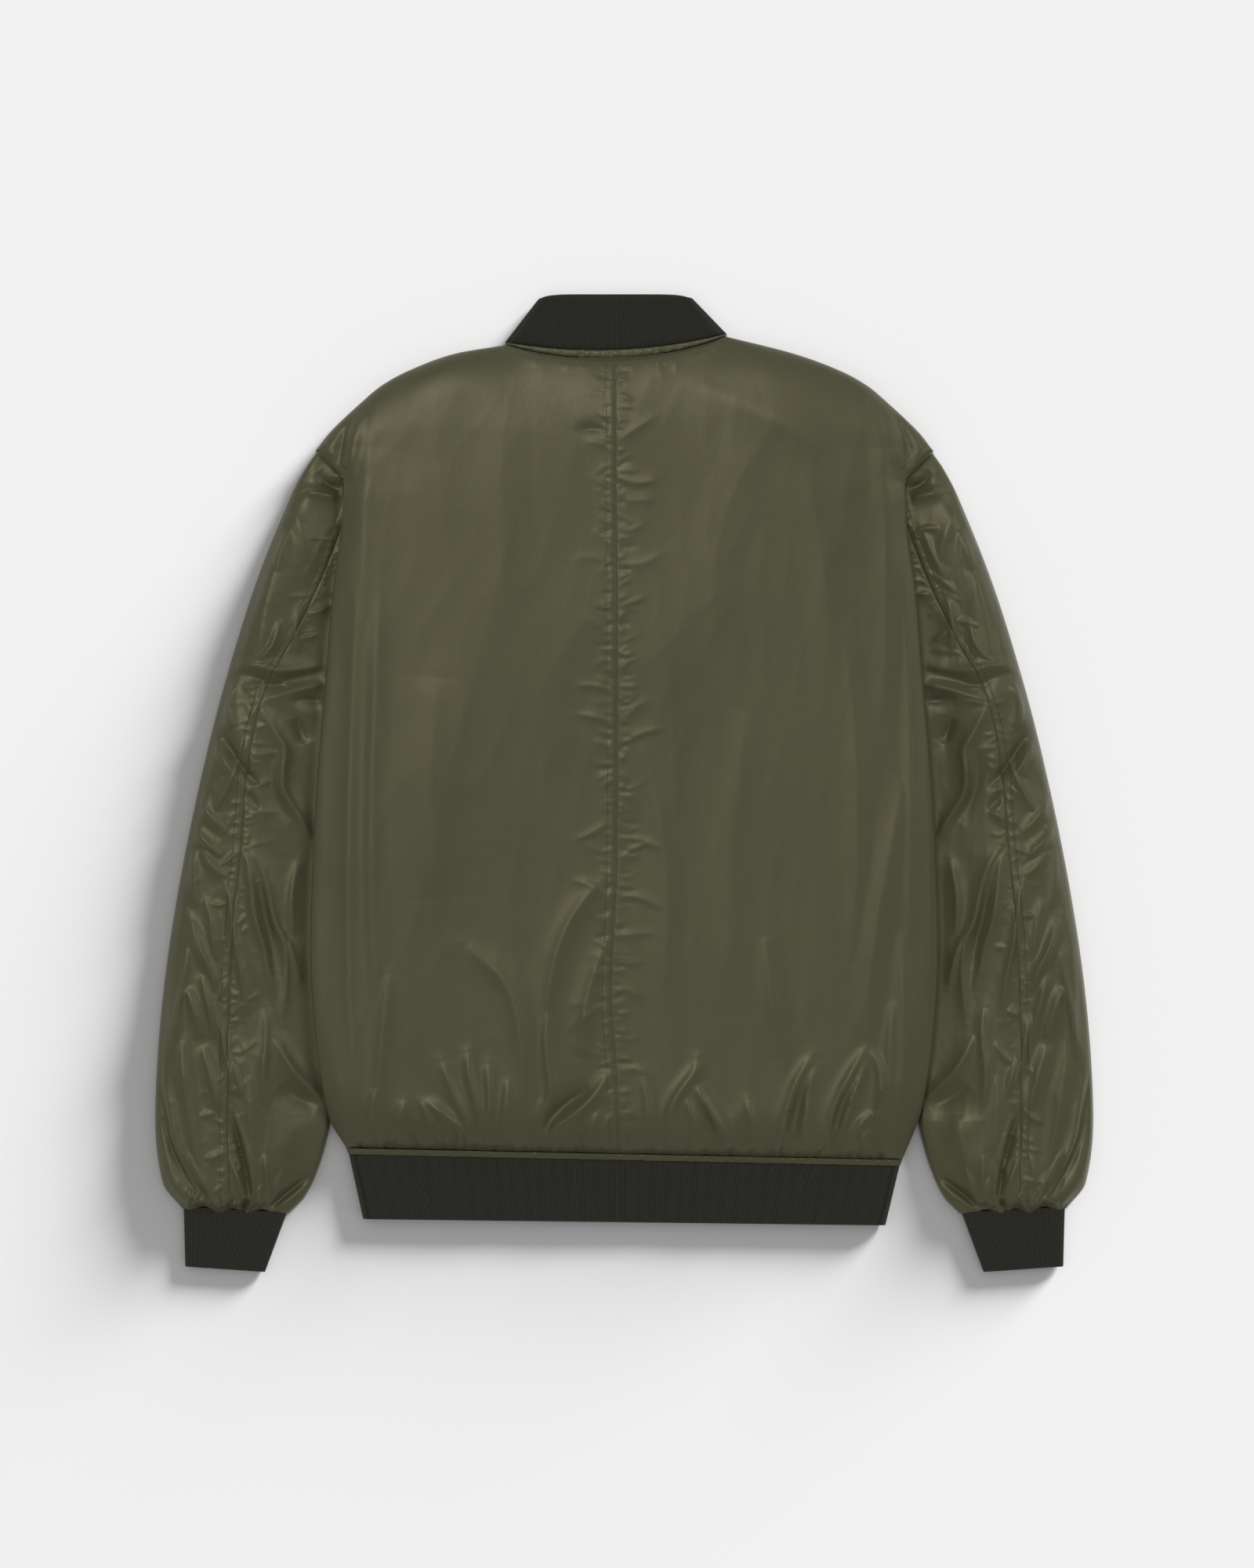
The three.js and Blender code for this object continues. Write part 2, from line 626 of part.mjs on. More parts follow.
const collarShape = foldedBand(
  {
    half: NECK_HALF, wall: RIB_WALL, frontShare: NECK_FRONT_SHARE, baseTop: 11, endTop: 8,
    levels: [0, 0.35, 0.7, 0.95, 1],
  },
  (share, level, layer) => {
    const x = neckBase(share, layer);
    const line = layer === "lower" ? frontNeckLine : neckLine;
    const side = share < 0 ? COLLAR_RIB.topLeft : COLLAR_RIB.topRight;
    const topX = layer === "lower"
      ? share * Math.abs(side)
      : neckX(share, COLLAR_RIB.topLeft, COLLAR_RIB.topRight);
    const topY = layer === "lower"
      ? mix(COLLAR_RIB.frontTopY, COLLAR_RIB.topY, Math.abs(share) ** FRONT_NECK_BEND)
      : COLLAR_RIB.topY;
    const corner = level > 0.96 ? COLLAR_RIB.cornerDrop * Math.abs(share) ** 8 : 0;
    const start = line(x) + NECK_GAP / 2;
    return [mix(x, topX, level), mix(start, topY, level) - corner];
  },
);
add("collar_rib", collarShape, RIB);

const hemBandShape = foldedBand(
  {
    half: HEM_HALF, wall: HEM_BAND_WALL, frontShare: FRONT_EDGE / HEM_HALF, baseTop: 10.8, endTop: 10.6,
    levels: [0, 1],
  },
  (share, level) => {
    const x = share * mix(HEM_HALF, HEM_RIB.topHalf + 0.6, level);
    return [x, hemLine(x) - SEAM_GAP - level * (HEM_BAND - SEAM_GAP)];
  },
);
add("hem_band", hemBandShape, SHELL);

const hemRibShape = foldedBand(
  {
    half: HEM_HALF, wall: RIB_WALL, frontShare: FRONT_EDGE / HEM_HALF, baseTop: 10.8, endTop: 10.6,
    levels: [0, 0.5, 1],
  },
  (share, level) => {
    const x = share * mix(HEM_RIB.topHalf, HEM_RIB.bottomHalf, level);
    const top = hemLine(x) - HEM_BAND - SEAM_GAP;
    const bottom = HEM_RIB.bottomY + HEM_RIB.tilt * x;
    return [x, mix(top, bottom, level)];
  },
);
add("hem_rib", hemRibShape, RIB);

// A cuff is a closed flattened tube: a ring of stations at each level down the arm.
function cuff(side) {
  const rings = [0, 0.35, 0.9, 1].map((level) => {
    const outerX = mix(CUFF.topOuter, CUFF.endOuter, level);
    const innerX = mix(CUFF.topInner, CUFF.endInner, level);
    const outerY = mix(CUFF.topOuterY, CUFF.endOuterY, level);
    const innerY = mix(CUFF.topInnerY, CUFF.endInnerY, level);
    const height = mix(CUFF.topHeight, CUFF.endHeight, level);
    const half = (outerX - innerX) / 2;
    return steps(0, 2 * Math.PI, CUFF.stations).map((angle) => {
      const across = Math.sign(Math.cos(angle)) * Math.abs(Math.cos(angle)) ** 0.35;
      const up = Math.sign(Math.sin(angle)) * Math.abs(Math.sin(angle)) ** 0.6;
      const x = (outerX + innerX) / 2 + across * half;
      const y = mix(innerY, outerY, (across + 1) / 2);
      const inside = 1 - 1.3 * RIB_WALL / half;
      const inX = (outerX + innerX) / 2 + across * half * inside;
      const slit = height / 2 - RIB_WALL;
      return [
        [side.sign * x, y, height / 2 * (1 + up)],
        [side.sign * inX, mix(innerY, outerY, (across * inside + 1) / 2), height / 2 + up * slit],
      ];
    });
  });
  return wall(rings, true);
}

for (const side of SIDES) add(`cuff_${side.name}`, cuff(side), RIB);

// ---- front zip ------------------------------------------------------------------------
// Tapes are sewn behind the two front edges, and the closed chain lies between the edges.
function bar(fromX, toX, fromY, toY, bottom, top) {
  const box = new THREE.BoxGeometry(toX - fromX, toY - fromY, top - bottom);
  return box.translate((fromX + toX) / 2, (fromY + toY) / 2, (bottom + top) / 2);
}

const zipBottom = HEM_RIB.bottomY + 2;
const zipTop = panelTop(frontNeckLine, 0);

for (const side of SIDES) {
  const near = side.sign * ZIP_TAPE.inner;
  const far = side.sign * ZIP_TAPE.outer;
  const { bottom, top } = ZIP_TAPE;
  const tape = bar(Math.min(near, far), Math.max(near, far), zipBottom, zipTop, bottom, top);
  add(`zip_tape_${side.name}`, tape, TAPE);
}

const sliderY = zipTop - SLIDER.length / 2;
const chainTop = sliderY - SLIDER.length / 2 - SEAM_GAP;
const chain = bar(-ZIP_CHAIN.half, ZIP_CHAIN.half, zipBottom, chainTop, ZIP_CHAIN.bottom, ZIP_CHAIN.top);
add("zip_chain", chain, METAL);
const sliderLow = sliderY - SLIDER.length / 2;
const sliderHigh = sliderLow + SLIDER.length;
const slider = bar(-SLIDER.half, SLIDER.half, sliderLow, sliderHigh, SLIDER.bottom, SLIDER.top);
add("zip_slider", slider, METAL);

// The bridge is an arch along the zip, on the slider's outer side, which holds the pull's eye.
function bridge() {
  const end = BRIDGE.length / 2;
  const inner = end - BRIDGE.leg;
  const root = SLIDER.bottom - SEAM_GAP;
  const arch = new THREE.Shape();
  arch.moveTo(-end, root);
  arch.lineTo(-end, BRIDGE.bottom);
  arch.lineTo(end, BRIDGE.bottom);
  arch.lineTo(end, root);
  arch.lineTo(inner, root);
  arch.lineTo(inner, BRIDGE.bottom + BRIDGE.bar);
  arch.lineTo(-inner, BRIDGE.bottom + BRIDGE.bar);
  arch.lineTo(-inner, root);
  arch.closePath();
  const geometry = new THREE.ExtrudeGeometry(arch, { depth: 2 * BRIDGE.half, bevelEnabled: false });
  geometry.rotateX(Math.PI / 2);
  geometry.rotateZ(Math.PI / 2);
  return geometry.translate(-BRIDGE.half, sliderY, 0);
}
add("zip_bridge", bridge(), METAL);

// The pull tab hangs on its eye's end bar, which is the hinge, and lies down the chain.
function pullTab() {
  const eyeOuter = PULL.eyeHalf + PULL.eyeBar;
  const barHalf = PULL.eyeBar / 2;
  const tab = new THREE.Shape();
  tab.moveTo(-eyeOuter, barHalf);
  tab.lineTo(-eyeOuter, -PULL.eyeLength - 1);
  tab.lineTo(-PULL.half, -PULL.eyeLength - 3);
  tab.absarc(0, PULL.half - PULL.length, PULL.half, Math.PI, 2 * Math.PI, false);
  tab.lineTo(PULL.half, -PULL.eyeLength - 3);
  tab.lineTo(eyeOuter, -PULL.eyeLength - 1);
  tab.lineTo(eyeOuter, barHalf);
  tab.closePath();
  const eye = new THREE.Path();
  eye.moveTo(-PULL.eyeHalf, -barHalf);
  eye.lineTo(PULL.eyeHalf, -barHalf);
  eye.lineTo(PULL.eyeHalf, -PULL.eyeLength);
  eye.lineTo(-PULL.eyeHalf, -PULL.eyeLength);
  eye.closePath();
  tab.holes.push(eye);
  const settings = { depth: PULL.thick, bevelEnabled: false, curveSegments: 8 };
  return new THREE.ExtrudeGeometry(tab, settings).translate(0, sliderY, PULL.bottom);
}
add("zip_pull", pullTab(), METAL);

export default jacket;
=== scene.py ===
# %% [markdown]
# # A bomber jacket, laid face down
# The jacket is zipped up and lies on its front, so the back, the backs of the two sleeves and
# the knitted ribs show. Its shell is a thin satin nylon over light wadding, which is why it
# stands up between the seams and wrinkles in sharp, shiny folds. A cloth simulation could
# settle it, but the folds of a pressed garment come from its seams, so every panel here is a
# height worked out over a grid: a smooth fullness, plus folds that are placed one by one and
# small puckers along the seams.

# %% Load the frame
import math
import bpy
import numpy as np
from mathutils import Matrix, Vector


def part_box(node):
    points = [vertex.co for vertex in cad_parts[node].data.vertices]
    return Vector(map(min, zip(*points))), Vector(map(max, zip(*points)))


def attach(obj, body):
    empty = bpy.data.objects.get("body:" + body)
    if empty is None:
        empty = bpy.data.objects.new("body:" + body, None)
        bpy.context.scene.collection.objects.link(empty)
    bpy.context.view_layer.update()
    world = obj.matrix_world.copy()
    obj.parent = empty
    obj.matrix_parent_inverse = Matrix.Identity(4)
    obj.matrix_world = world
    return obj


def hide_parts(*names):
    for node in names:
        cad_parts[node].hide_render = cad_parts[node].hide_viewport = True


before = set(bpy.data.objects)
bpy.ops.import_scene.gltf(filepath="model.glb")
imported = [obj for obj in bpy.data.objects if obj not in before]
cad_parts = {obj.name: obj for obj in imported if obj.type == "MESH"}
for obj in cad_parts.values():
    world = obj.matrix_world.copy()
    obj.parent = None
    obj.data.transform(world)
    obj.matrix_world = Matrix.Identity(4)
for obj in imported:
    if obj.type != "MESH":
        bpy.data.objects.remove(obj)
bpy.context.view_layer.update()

# %% [markdown]
# ## Camera
# The camera looks straight down on the jacket from well above it, with a long lens, so the
# flat garment isn't distorted towards the corners of the frame. The lens follows from the
# height and from how much of the table the long side of the frame takes in.

# %% Camera
TABLE_SEEN = 1.26
CAMERA_HEIGHT = 3.2
MIDDLE_HEIGHT = 0.012
SENSOR = 36.0

camera_data = bpy.data.cameras.new("camera")
camera_data.sensor_width = SENSOR
camera_data.lens = SENSOR * (CAMERA_HEIGHT - MIDDLE_HEIGHT) / TABLE_SEEN
camera = bpy.data.objects.new("camera", camera_data)
camera.location = (0.0022, -0.0006, CAMERA_HEIGHT)
bpy.context.collection.objects.link(camera)
bpy.context.scene.camera = camera
print("camera lens", round(camera_data.lens, 1), "mm")

# %% [markdown]
# ## Numbers and curves
# Sizes are written in millimetres, as on a pattern sheet, and turned into metres when a mesh
# is made. A seam line is a short table of points with a smooth cubic through them, the way a
# pattern cutter draws it with a curved ruler. All helpers take whole arrays.

# %% Small helpers
MM = 0.001


def mix(a, b, t):
    """From a to b by the share t."""
    return a + (b - a) * t


def ease(start, end, value):
    """0 before start, 1 after end, and between them 3t² - 2t³."""
    t = np.clip((value - start) / (end - start), 0, 1)
    return t * t * (3 - 2 * t)


def puff(distance, reach):
    """Rise of a rounded edge: a quarter circle, 0 at the edge and 1 from `reach` inwards."""
    t = np.clip(distance / reach, 0, 1)
    return np.sqrt(1 - (1 - t) ** 2)


def curve(rows):
    """A smooth curve through (y, value) rows: between two rows a cubic with the rows' slopes."""
    knots, values = np.array(rows, float).T
    low = np.maximum(np.arange(len(knots)) - 1, 0)
    high = np.minimum(np.arange(len(knots)) + 1, len(knots) - 1)
    slopes = (values[high] - values[low]) / (knots[high] - knots[low])

    def read(y):
        i = np.clip(np.searchsorted(knots, y, side="left") - 1, 0, len(knots) - 2)
        span = knots[i + 1] - knots[i]
        t = np.clip((y - knots[i]) / span, 0, 1)
        t2, t3 = t * t, t * t * t
        return ((2 * t3 - 3 * t2 + 1) * values[i] + (t3 - 2 * t2 + t) * slopes[i] * span
                + (3 * t2 - 2 * t3) * values[i + 1] + (t3 - t2) * slopes[i + 1] * span)

    return read


def shares(length, cell, start=None, end=None, reach=12):
    """Steps from 0 to 1 along a length in mm, with smaller cells towards one or both ends."""
    s = np.linspace(0, length, 4000)
    size = np.full_like(s, cell)
    if start:
        size = mix(start, size, ease(0, reach, s))
    if end:
        size = mix(end, size, ease(0, reach, length - s))
    count = np.concatenate([[0], np.cumsum(np.diff(s) / size[1:])])
    total = int(round(count[-1]))
    return np.interp(np.linspace(0, count[-1], total + 1), count, s) / length


print("helpers: halfway of an easing is", float(ease(0, 1, 0.5)))

# %% Seam lines of the body and the sleeves
NECK_MIDDLE = -7.2
NECK_HALF = {-1: 96.0, 1: 82.5}
HEM_HALF = 224.0
SHOULDER = [(267, 249), (283, 236.5), (308, 210), (321, 194), (333, 171.5), (346, 135.5)]
ARMHOLE = [(244, 225.5), (254, 236), (267, 249)]
SIDE = [(-272, 236.5), (-246, 242), (-208, 247.5), (-143, 252), (-60, 250), (11, 246),
        (75, 240.5), (152, 234.3), (206, 227), (244, 225.5)]
centre_back = curve([(-298, -3.8), (-246, -5.4), (-169, -10.2), (-62, -6), (342, -7.2)])
side_line = curve(SIDE)
armhole_line = curve(ARMHOLE)
sleeve_outer = curve([(-343, 356), (-322, 372), (-259, 378), (-133, 367), (18, 338), (144, 302.7),
                      (233, 268), (267, 249.6)])
sleeve_seam = curve([(-341, 317), (-246, 317.8), (-143, 315.7), (-45, 307), (20, 301), (75, 288),
                     (118, 265), (167, 242.5), (206, 227.5), (238, 217)])
sleeve_inner = curve([(-347, 270.6), (-334, 258), (-310, 246.6), (-284, 239), (-272, 237),
                      (-246, 238), (-143, 233.5), (11, 219), (75, 209), (152, 200), (215, 205),
                      (232, 212)])


def neck_line(x):
    """Neck seam at the back: a shallow bow, a little higher on the right."""
    run = x - NECK_MIDDLE
    return 348.4 + 0.037 * run + 0.00122 * run * run


def hem_line(x):
    """Top of the hem band: nearly level, a little lower on the right."""
    return -298 - 0.021 * x


def neck_band_width(x):
    """Width of the narrow band under the collar: 6 mm in the middle, 1.5 mm at its ends."""
    half = np.where(x < NECK_MIDDLE, NECK_MIDDLE + NECK_HALF[-1], NECK_HALF[1] - NECK_MIDDLE)
    return mix(6, 1.5, np.clip(np.abs(x - NECK_MIDDLE) / half, 0, 1) ** 2.5)


def front_neck_line(x):
    """Neck seam of the fronts: low at the zip, rising to the neck points."""
    sign = np.where(x < 0, -1.0, 1.0)
    half = np.where(x < 0, NECK_HALF[-1], NECK_HALF[1])
    return 290 + (neck_line(sign * half) - 290) * (np.abs(x) / half) ** 2.2


def panel_top(line, x):
    """Upper edge of a body panel: the neck line less the band and the seam."""
    return line(x) - neck_band_width(x) - 0.6


def outline(sign):
    """Half width of the body by height: hem corner, side, armhole seam and shoulder in turn."""
    hem_y = hem_line(sign * HEM_HALF)
    neck_y = float(panel_top(neck_line, np.array(sign * NECK_HALF[sign])))
    side = curve([(hem_y, HEM_HALF), *SIDE])
    shoulder = curve([*SHOULDER, (neck_y, NECK_HALF[sign])])

    def read(y):
        upper = np.where(y > 267, shoulder(y), armhole_line(y))
        return np.where(y > 244, upper, side(y))

    return read, hem_y, neck_y


print("half widths: chest", round(float(side_line(150)), 1), "hem", HEM_HALF,
      "elbow", float(sleeve_outer(18)))

# %% [markdown]
# ## Folds
# A fold in thin nylon is a narrow ridge or trough along a wandering line, high in the middle
# of its run and gone at its ends, often steeper on one side. A fold here is a path with a
# width, a height (below zero for a trough) and a lean. Ridges that meet are joined by taking
# the higher one, and not by adding them, so that a star of folds doesn't pile up.

# %% Fold helpers
def crease(points, width, height, lean=0.0):
    """A fold along points in mm. The path is rounded by averaging the corners twice."""
    path = np.array(points, float)
    for _ in range(2):
        cut = np.stack([mix(path[:-1], path[1:], 0.25), mix(path[:-1], path[1:], 0.75)], 1)
        path = np.concatenate([path[:1], cut.reshape(-1, 2), path[-1:]])
    return path, width, height, lean


def nearest_on_path(path, x, y):
    """For each point: distance to the path, the side it lies on, and the share along it."""
    run = np.diff(path, axis=0)
    size = np.maximum((run ** 2).sum(1), 1e-9)
    relative = np.stack([x, y], -1)[:, None] - path[:-1]
    t = np.clip((relative * run).sum(-1) / size, 0, 1)
    off = relative - t[..., None] * run
    square = (off ** 2).sum(-1)
    k = square.argmin(1)
    rows = np.arange(len(k))
    turn = run[k, 0] * off[rows, k, 1] - run[k, 1] * off[rows, k, 0]
    lengths = np.concatenate([[0], np.cumsum(np.sqrt(size))])
    along = (lengths[k] + t[rows, k] * np.sqrt(size[k])) / lengths[-1]
    return np.sqrt(square[rows, k]), np.sign(turn), along


def fold_height(folds, x, y):
    """Ridges joined by the highest and troughs by the lowest. Across a fold the height falls as
    exp(0.3 - sqrt(q² + 0.09)), a narrow crest with straight flanks, where q is the distance over
    the width, more on the side it leans to. Along it goes sin(pi · share) to the power 0.6."""
    ridges, troughs = np.zeros_like(x), np.zeros_like(x)
    for path, width, height, lean in folds:
        low, high = path.min(0) - 4.5 * width, path.max(0) + 4.5 * width
        near = (x > low[0]) & (x < high[0]) & (y > low[1]) & (y < high[1])
        if not near.any():
            continue
        distance, side, along = nearest_on_path(path, x[near], y[near])
        q = distance / (width * (1 + lean * side))
        end = np.sin(np.pi * np.clip(along, 0.02, 0.98)) ** 0.6
        shape = height * end * np.clip(1.05 * np.exp(0.3 - np.sqrt(q * q + 0.09)) - 0.05, 0, 1)
        if height > 0:
            ridges[near] = np.maximum(ridges[near], shape)
        else:
            troughs[near] = np.minimum(troughs[near], shape)
    return ridges + troughs


def waves(rng, x, y, size, count=9, stretch=1.0, turn=0.0):
    """Soft unevenness between -1 and 1: a mean of `count` sine waves in seeded directions,
    about `size` mm long, drawn out by `stretch` along the direction `turn`."""
    along, across = math.cos(turn), math.sin(turn)
    u, v = (x * along + y * across) / stretch, -x * across + y * along
    total = np.zeros_like(x)
    for _ in range(count):
        angle, phase = rng.uniform(0, math.pi), rng.uniform(0, 2 * math.pi)
        pitch = size * rng.uniform(0.6, 1.7)
        total += np.sin(2 * math.pi * (u * math.cos(angle) + v * math.sin(angle)) / pitch + phase)
    return total / math.sqrt(count)


def crumple(rng, x, y, size, count=7, stretch=1.0, turn=0.0):
    """A net of sharp crests between hollows: one less twice the size of a sum of waves, which
    comes to a point wherever the sum passes through 0."""
    return 1 - 2 * np.abs(np.clip(waves(rng, x, y, size, count, stretch, turn), -1, 1))


def seam_puckers(rng, path, side, pitch, length, width, height, slant=0.0, gap=0.6):
    """Little folds that leave a seam on one side. They are spaced, turned and sized at random
    about the given values, as thread tension does it, and each bends a little on its way."""
    path = np.array(path, float)
    run = np.diff(path, axis=0)
    lengths = np.concatenate([[0], np.cumsum(np.hypot(*run.T))])
    folds, at = [], pitch * rng.uniform(0.2, 1)
    while at < lengths[-1] - pitch * 0.4:
        k = min(np.searchsorted(lengths, at) - 1, len(run) - 1)
        ahead = run[k] / np.hypot(*run[k])
        aside = side * np.array([-ahead[1], ahead[0]])
        foot = path[k] + ahead * (at - lengths[k])
        angle = slant + rng.normal(0, 0.32)
        way = aside * math.cos(angle) + ahead * math.sin(angle)
        bend = ahead * rng.normal(0, 0.12)
        reach = length * rng.uniform(0.45, 1.5)
        points = [foot + aside * gap, foot + way * reach * 0.5 + bend * reach, foot + way * reach]
        folds.append(crease(points, width * rng.uniform(0.7, 1.35), height * rng.uniform(0.35, 1.2),
                            rng.uniform(-0.3, 0.3)))
        at += pitch * rng.uniform(0.55, 1.5)
    return folds


sample = fold_height([crease([(0, 0), (50, 0)], 4, 2)], np.array([25.0, 25.0]), np.array([0, 4.0]))
print("a ridge 2 mm high, on its line and 4 mm away:", sample.round(2))

# %% [markdown]
# ## From a grid to a sewn piece
# Cloth has two faces. Each piece is a grid for the face that shows and a coarser second grid
# a little inside it, joined round all four sides, so every piece is a closed thin shell with
# its faces outwards. Blender's Solidify modifier would do this too, but with twice the
# triangles, most of them where nobody looks.

# %% Shell builder
pieces = {}


def grid_normals(points, ring=False):
    """Unit normals of a grid of points, from the cross product of its two differences."""
    if ring:
        across = np.roll(points, -1, 1) - np.roll(points, 1, 1)
    else:
        across = np.gradient(points, axis=1)
    normals = np.cross(across, np.gradient(points, axis=0))
    return normals / np.maximum(np.linalg.norm(normals, axis=2, keepdims=True), 1e-9)


def lowest_nearby(height, reach):
    """Lowest value within `reach` columns on either side, so that a coarse lining stays under."""
    low = height.copy()
    for step in range(1, reach + 1):
        low[:, step:] = np.minimum(low[:, step:], height[:, :-step])
        low[:, :-step] = np.minimum(low[:, :-step], height[:, step:])
    return low


def shell_faces(rows, columns, keep, ring):
    """Quads of both skins, quads of the two sides, and triangles that close the end rows,
    where each span of the inner skin meets several of the outer one."""
    r, c = np.mgrid[0:rows - 1, 0:columns if ring else columns - 1]
    ahead = (c + 1) % columns
    quads = [np.stack([r * columns + c, r * columns + ahead, (r + 1) * columns + ahead,
                       (r + 1) * columns + c], -1).reshape(-1, 4)]
    base, kept = rows * columns, len(keep)
    r, k = np.mgrid[0:rows - 1, 0:kept if ring else kept - 1]
    ahead = (k + 1) % kept
    quads.append(np.stack([base + r * kept + k, base + (r + 1) * kept + k,
                           base + (r + 1) * kept + ahead, base + r * kept + ahead],
                          -1).reshape(-1, 4))
    if not ring:
        r = np.arange(rows - 1)
        last, inner_last = columns - 1, base + kept - 1
        quads.append(np.stack([r * columns, (r + 1) * columns,
                               base + (r + 1) * kept, base + r * kept], -1))
        quads.append(np.stack([(r + 1) * columns + last, r * columns + last, inner_last + r * kept,
                               inner_last + (r + 1) * kept], -1))
    c = np.arange(columns if ring else columns - 1)
    k = np.searchsorted(keep, c, side="right") - 1
    spans = np.arange(kept if ring else kept - 1)
    meet = np.append(keep[1:], keep[0])[spans]
    end, inner_end = (rows - 1) * columns, base + (rows - 1) * kept
    triangles = [np.stack([(c + 1) % columns, c, base + k], -1),
                 np.stack([base + spans, base + (spans + 1) % kept, meet], -1),
                 np.stack([end + c, end + (c + 1) % columns, inner_end + k], -1),
                 np.stack([inner_end + (spans + 1) % kept, inner_end + spans, end + meet], -1)]
    return np.concatenate(quads), np.concatenate(triangles)


def make_mesh(name, points, quads, triangles, material, slot, body="jacket"):
    """Puts points in mm and faces into a smooth-shaded mesh, turned inside out if its signed
    volume is negative, and rides it on a body."""
    points = np.asarray(points, float).reshape(-1, 3)
    fans = np.concatenate([quads[:, [0, 1, 2]], quads[:, [0, 2, 3]], triangles]).astype(int)
    a, b, c = (points[fans[:, i]] for i in range(3))
    volume = (a * np.cross(b, c)).sum() / 6
    if volume < 0:
        quads, triangles, volume = quads[:, ::-1], triangles[:, ::-1], -volume
    mesh = bpy.data.meshes.new(name)
    mesh.vertices.add(len(points))
    mesh.vertices.foreach_set("co", (points * MM).ravel())
    mesh.loops.add(quads.size + triangles.size)
    corners = np.concatenate([quads.ravel(), triangles.ravel()]).astype(int)
    mesh.loops.foreach_set("vertex_index", corners)
    mesh.polygons.add(len(quads) + len(triangles))
    starts = np.concatenate([np.arange(len(quads)) * 4, quads.size + np.arange(len(triangles)) * 3])
    mesh.polygons.foreach_set("loop_start", starts)
    mesh.update(calc_edges=True)
    mesh.validate()
    mesh.polygons.foreach_set("use_smooth", np.ones(len(mesh.polygons), bool))
    mesh.set_sharp_from_angle(angle=math.radians(70))
    mesh.materials.append(material)
    piece = bpy.data.objects.new(name, mesh)
    bpy.context.collection.objects.link(piece)
    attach(piece, body)
    pieces[name] = piece
    print(f"{name}: {2 * len(quads) + len(triangles)} triangles, {volume / 1000:.0f} cm3 of cloth")
    return piece


def sew(name, outer, material, slot, wall=1.0, every=4, drop=None, ring=False, crest=None):
    """A closed shell from the outer grid. The inner skin is the outer one moved in along its
    normals by the wall, on one column in `every`, and lowered to the troughs around it by the
    share `drop`. `crest`, from 0 between ribs to 1 on them, is kept as the attribute rib_crest."""
    outer = np.asarray(outer, float)
    rows, columns = outer.shape[:2]
    keep = np.arange(0, columns, every)
    if not ring and keep[-1] != columns - 1:
        keep = np.append(keep, columns - 1)
    normals = grid_normals(outer, ring)
    quads, triangles = shell_faces(rows, columns, keep, ring)
    flat = outer.reshape(-1, 3)
    sign = np.sign(normals.reshape(-1, 3)[flat[:, 2].argmax(), 2])
    inner = outer - sign * normals * wall
    if drop is not None:
        inner[..., 2] -= drop * (outer[..., 2] - lowest_nearby(outer[..., 2], every))
    points = np.concatenate([flat, inner[:, keep].reshape(-1, 3)])
    piece = make_mesh(name, points, quads, triangles, material, slot)
    # rib_crest is read by the rib material to paint shade between the ribs and a highlight on their
    # crests.
    if crest is not None:
        values = np.concatenate([np.broadcast_to(crest, outer.shape[:2]).ravel(),
                                 np.zeros(rows * len(keep))])
        layer = piece.data.attributes.new("rib_crest", "FLOAT", "POINT")
        layer.data.foreach_set("value", values.astype(np.float32))
    return piece

# %% [markdown]
# ## Materials
# The shell is a tightly woven satin nylon: dark olive, with a broad sheen that runs to bright
# lines along sharp folds. A Principled shader of middling roughness does that, with a fine
# twill as bump and a slow, weak change of colour, as dyeing the cloth in the piece leaves it.
# The gloss is tinted olive, since a coloured thread reflects its own colour at a low angle.
# The ribs are matt knitted wool and acrylic. Their colour holds painted light: painted shade
# between the ribs and a painted highlight on them, by the mesh's attribute rib_crest. The tape
# is plain woven, and the zip is antique nickel. Other patterns read Object coordinates, which
# here are metres on the jacket.

# %% Material helpers
def new_material(name, color, roughness, metallic=0.0, specular=0.5):
    """A Principled material with its uniform values on the shader's own sockets."""
    material = bpy.data.materials.new(name)
    material.use_nodes = True
    shader = material.node_tree.nodes["Principled BSDF"]
    shader.inputs["Base Color"].default_value = (*color, 1)
    shader.inputs["Roughness"].default_value = roughness
    shader.inputs["Metallic"].default_value = metallic
    shader.inputs["Specular IOR Level"].default_value = specular
    return material, material.node_tree, shader


def add_node(tree, kind, **values):
    """A node of that kind, with its properties and inputs set by name."""
    node = tree.nodes.new(kind)
    for name, value in values.items():
        if hasattr(node, name):
            setattr(node, name, value)
        else:
            node.inputs[name.replace("_", " ")].default_value = value
    return node


def object_space(tree, scale=(1, 1, 1), turn=0.0):
    """Object coordinates through a Mapping node."""
    source = tree.nodes.new("ShaderNodeTexCoord")
    mapping = add_node(tree, "ShaderNodeMapping", Scale=scale, Rotation=(0, 0, turn))
    tree.links.new(source.outputs["Object"], mapping.inputs["Vector"])
    return mapping.outputs["Vector"]


def vary_color(tree, shader, color, scale, amount, stretch=(1, 1, 1)):
    """Base colour between two shades of the same dye, by a slow noise."""
    noise = add_node(tree, "ShaderNodeTexNoise", Scale=scale, Detail=3.0)
    tree.links.new(object_space(tree, stretch), noise.inputs["Vector"])
    ramp = tree.nodes.new("ShaderNodeValToRGB")
    for stop, place, factor in zip(ramp.color_ramp.elements, (0.3, 0.7), (1 - amount, 1 + amount)):
        stop.position = place
        stop.color = (*(channel * factor for channel in color), 1)
    tree.links.new(noise.outputs["Fac"], ramp.inputs["Fac"])
    tree.links.new(ramp.outputs["Color"], shader.inputs["Base Color"])


